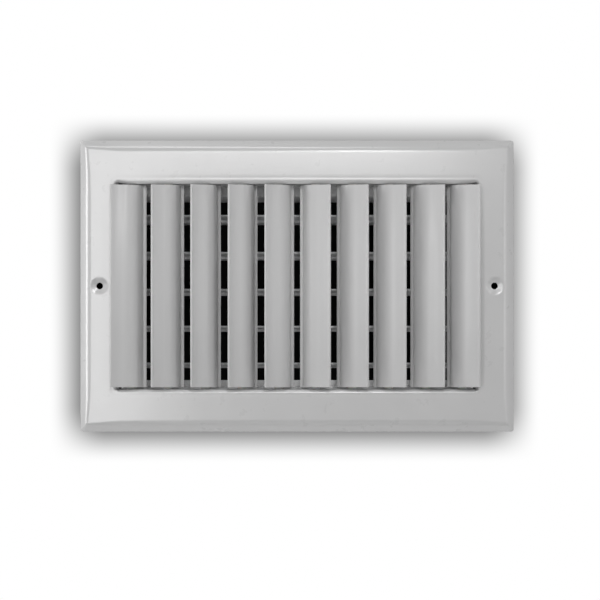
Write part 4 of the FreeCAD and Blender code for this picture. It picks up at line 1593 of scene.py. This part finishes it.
@dataclass
class Studio:
    """Wall with painted shade, floor, a near-black sheet painted as the shade inside the duct,
    lamps and camera round the register.
    """

    rim_depth: float = 6.5
    wall_gap: float = 1.5
    wall_margin: float = 40.0
    wall_hole: Flat = (127.5, 76.5)
    wall_grey: float = 0.85
    painted_shade_x: Flat = (-1.8, 21.0)
    # Painted shade on the wall: shift and reach of the soft dark band at the sides and at top and
    # bottom, its depth, and the inset of the painted dark under the face.
    painted_shade_z: Flat = (-1.5, 21.0)
    painted_shade_depth: float = 0.78
    painted_dark_inset: float = 8.0
    # Near-black sheet behind the housing: painted shade for the inside of the duct.
    duct_gap: float = 4.0
    duct_half: Flat = (150.0, 98.0)
    painted_duct_shade_grey: float = 0.008
    duct_passing: float = 0.25
    floor_drop: float = 0.42
    floor_reach: float = 1.6
    floor_back: float = 0.24
    room_level: float = 0.02
    lens: float = 52.8
    camera_at: Point = (0.00203, -0.6015, -0.00958)

    @staticmethod
    def matt(sheet: ShaderSheet, grey: float) -> Socket:
        """Plain matt shader of one grey."""
        return sheet.add("ShaderNodeBsdfDiffuse", {"Color": (grey, grey, grey, 1.0)}).outputs[0]

    @staticmethod
    def one_sided(sheet: ShaderSheet, result: Socket, passing: float = 1.0) -> None:
        """Ends a stage material that is clear from behind and lets the rear lamps through.

        Args:
            sheet: The material under construction.
            result: The shader seen from the front.
            passing: Share of the lamps' light that it lets through.
        """
        shadow = sheet.add("ShaderNodeLightPath").outputs["Is Shadow Ray"]
        behind = sheet.add("ShaderNodeNewGeometry").outputs["Backfacing"]
        share = sheet.maths("MAXIMUM", behind, sheet.maths("MULTIPLY", shadow, passing))
        clear = sheet.add("ShaderNodeBsdfTransparent").outputs[0]
        sheet.links.new(sheet.mixed(share, result, clear),
                        sheet.nodes["Material Output"].inputs["Surface"])

    def wall_material(self, half_x: float, half_z: float) -> bpy.types.Material:
        """White wall with a painted soft shade round the face, and painted dark under the face.

        Args:
            half_x: Half the width of the face, in millimetres.
            half_z: Half its height.

        Returns:
            The material.
        """
        sheet = ShaderSheet("wall_white")
        place = sheet.add("ShaderNodeSeparateXYZ", {0: sheet.place}).outputs
        maths = sheet.maths

        def within(axis: int, half: float, shift: float, reach: float) -> Socket:
            away = maths("ABSOLUTE", maths("ADD", place[axis], -shift * MM), 0.0)
            return sheet.between(away, 1.0, 0.0, (half - reach) * MM, (half + reach) * MM)

        # Painted shade: a soft dark band round the face's outline and full dark under the face,
        # drawn into the wall's glow.
        inset = self.painted_dark_inset
        shade = maths("MULTIPLY", within(0, half_x, *self.painted_shade_x),
                      within(2, half_z, *self.painted_shade_z))
        under = maths("MULTIPLY", within(0, half_x - inset, 0.0, 3.0),
                      within(2, half_z - inset, 0.0, 3.0))
        level = maths("SUBTRACT", 1.0, maths("MULTIPLY", shade, self.painted_shade_depth))
        level = maths("MULTIPLY", maths("POWER", level, 2.2), maths("SUBTRACT", 1.0, under))
        glow_with_painted_shade = sheet.add("ShaderNodeEmission", {"Strength": level}).outputs[0]
        self.one_sided(sheet, sheet.mixed(sheet.seen(), self.matt(sheet, self.wall_grey), glow_with_painted_shade))
        return sheet.material

    def surroundings(self) -> None:
        """Builds the wall with its duct hole, a near-black sheet painted as the shade inside the
        duct, and the floor.
        """
        low, high = corners_of("face_frame")
        y = (low.y + self.rim_depth + self.wall_gap) * MM
        ways = ((-1, -1), (1, -1), (1, 1), (-1, 1))
        build = bmesh.new()
        outer, inner = [[build.verts.new((a * x * MM, y, b * z * MM)) for a, b in ways]
                        for x, z in ((high.x + self.wall_margin, high.z + self.wall_margin),
                                     self.wall_hole)]
        for i in range(4):
            j = (i + 1) % 4
            build.faces.new((outer[i], outer[j], inner[j], inner[i]))
        panel = object_of("wall_panel", build)
        panel.data.materials.append(self.wall_material(high.x, high.z))
        # Painted shade: a near-black sheet behind the housing stands in for the dark inside the
        # duct.
        dark = ShaderSheet("painted_duct_shade")
        self.one_sided(dark, self.matt(dark, self.painted_duct_shade_grey), self.duct_passing)
        back, (x, z) = CAD_BOX[1].y + self.duct_gap * MM, self.duct_half
        floor = ShaderSheet("floor_pale")
        floor.set(Base_Color=(0.8, 0.8, 0.8, 1.0), Roughness=0.9)
        drop_to, wide, end = -self.floor_drop, self.floor_reach, self.floor_back
        for name, material, corners in (
                ("painted_duct_shade_sheet", dark.material, [(a * x * MM, back, b * z * MM)
                                                    for a, b in ways]),
                ("floor_sheet", floor.material, [(-wide, -wide, drop_to), (wide, -wide, drop_to),
                                                 (wide, end, drop_to), (-wide, end, drop_to)])):
            sheet = flat_face(name, corners)
            sheet.data.materials.append(material)

    def lights(self) -> None:
        """Adds the lamps and the world."""
        for lamp in LAMPS:
            lamp.hang()
        world = bpy.data.worlds.new("room")
        bpy.context.scene.world = world
        world.use_nodes = True
        room = NodeSheet(world.node_tree)
        room.nodes.clear()
        plain, white = [room.add("ShaderNodeBackground", {"Color": WHITE, "Strength": level}
                                 ).outputs[0] for level in (self.room_level, 1.0)]
        room.add("ShaderNodeOutputWorld", {"Surface": room.mixed(room.seen(), plain, white)})

    def camera(self) -> None:
        """Sets up the camera square to the face, a little below its centre."""
        lens = bpy.data.cameras.new("square_on")
        lens.lens = self.lens
        lens.sensor_width = 36.0
        view = bpy.data.objects.new("square_on", lens)
        view.location = self.camera_at
        view.rotation_euler = (math.radians(90), 0.0, 0.0)
        bpy.context.scene.collection.objects.link(view)
        bpy.context.scene.camera = view

    def build(self) -> None:
        """Sets the whole studio up."""
        bpy.context.scene.view_settings.view_transform = "Standard"
        self.surroundings()
        self.lights()
        self.camera()


REST_TURNS = (29.2, 39.6, 44.4, 43.6, 41.5, 38.0, 37.0, 36.7, 33.9, 39.3)


def main() -> None:
    """Builds every sub-assembly in order, then the studio."""
    logging.basicConfig(level=logging.INFO, format="%(name)s %(message)s")
    shop = Workshop()
    FaceFrame(shop).build()
    for number, rest in enumerate(REST_TURNS, 1):
        Louvre(shop, number, rest).build()
    BushingRow(shop, "upper_louvre_bushings", "upper_bushing_row", 1).build()
    BushingRow(shop, "lower_louvre_bushings", "lower_bushing_row", -1).build()
    Channel(shop, "top_channel", "upper_channel_sheet").build()
    Channel(shop, "bottom_channel", "lower_channel_sheet").build()
    SidePlate(shop, "left_side_plate", "left_plate_sheet", -1).build()
    SidePlate(shop, "right_side_plate", "right_plate_sheet", 1).build()
    RivetSet(shop).build()
    for number in range(1, 6):
        Vane(shop, number).build()
    Linkage(shop).build()
    Studio().build()


if __name__ == "__main__":
    main()
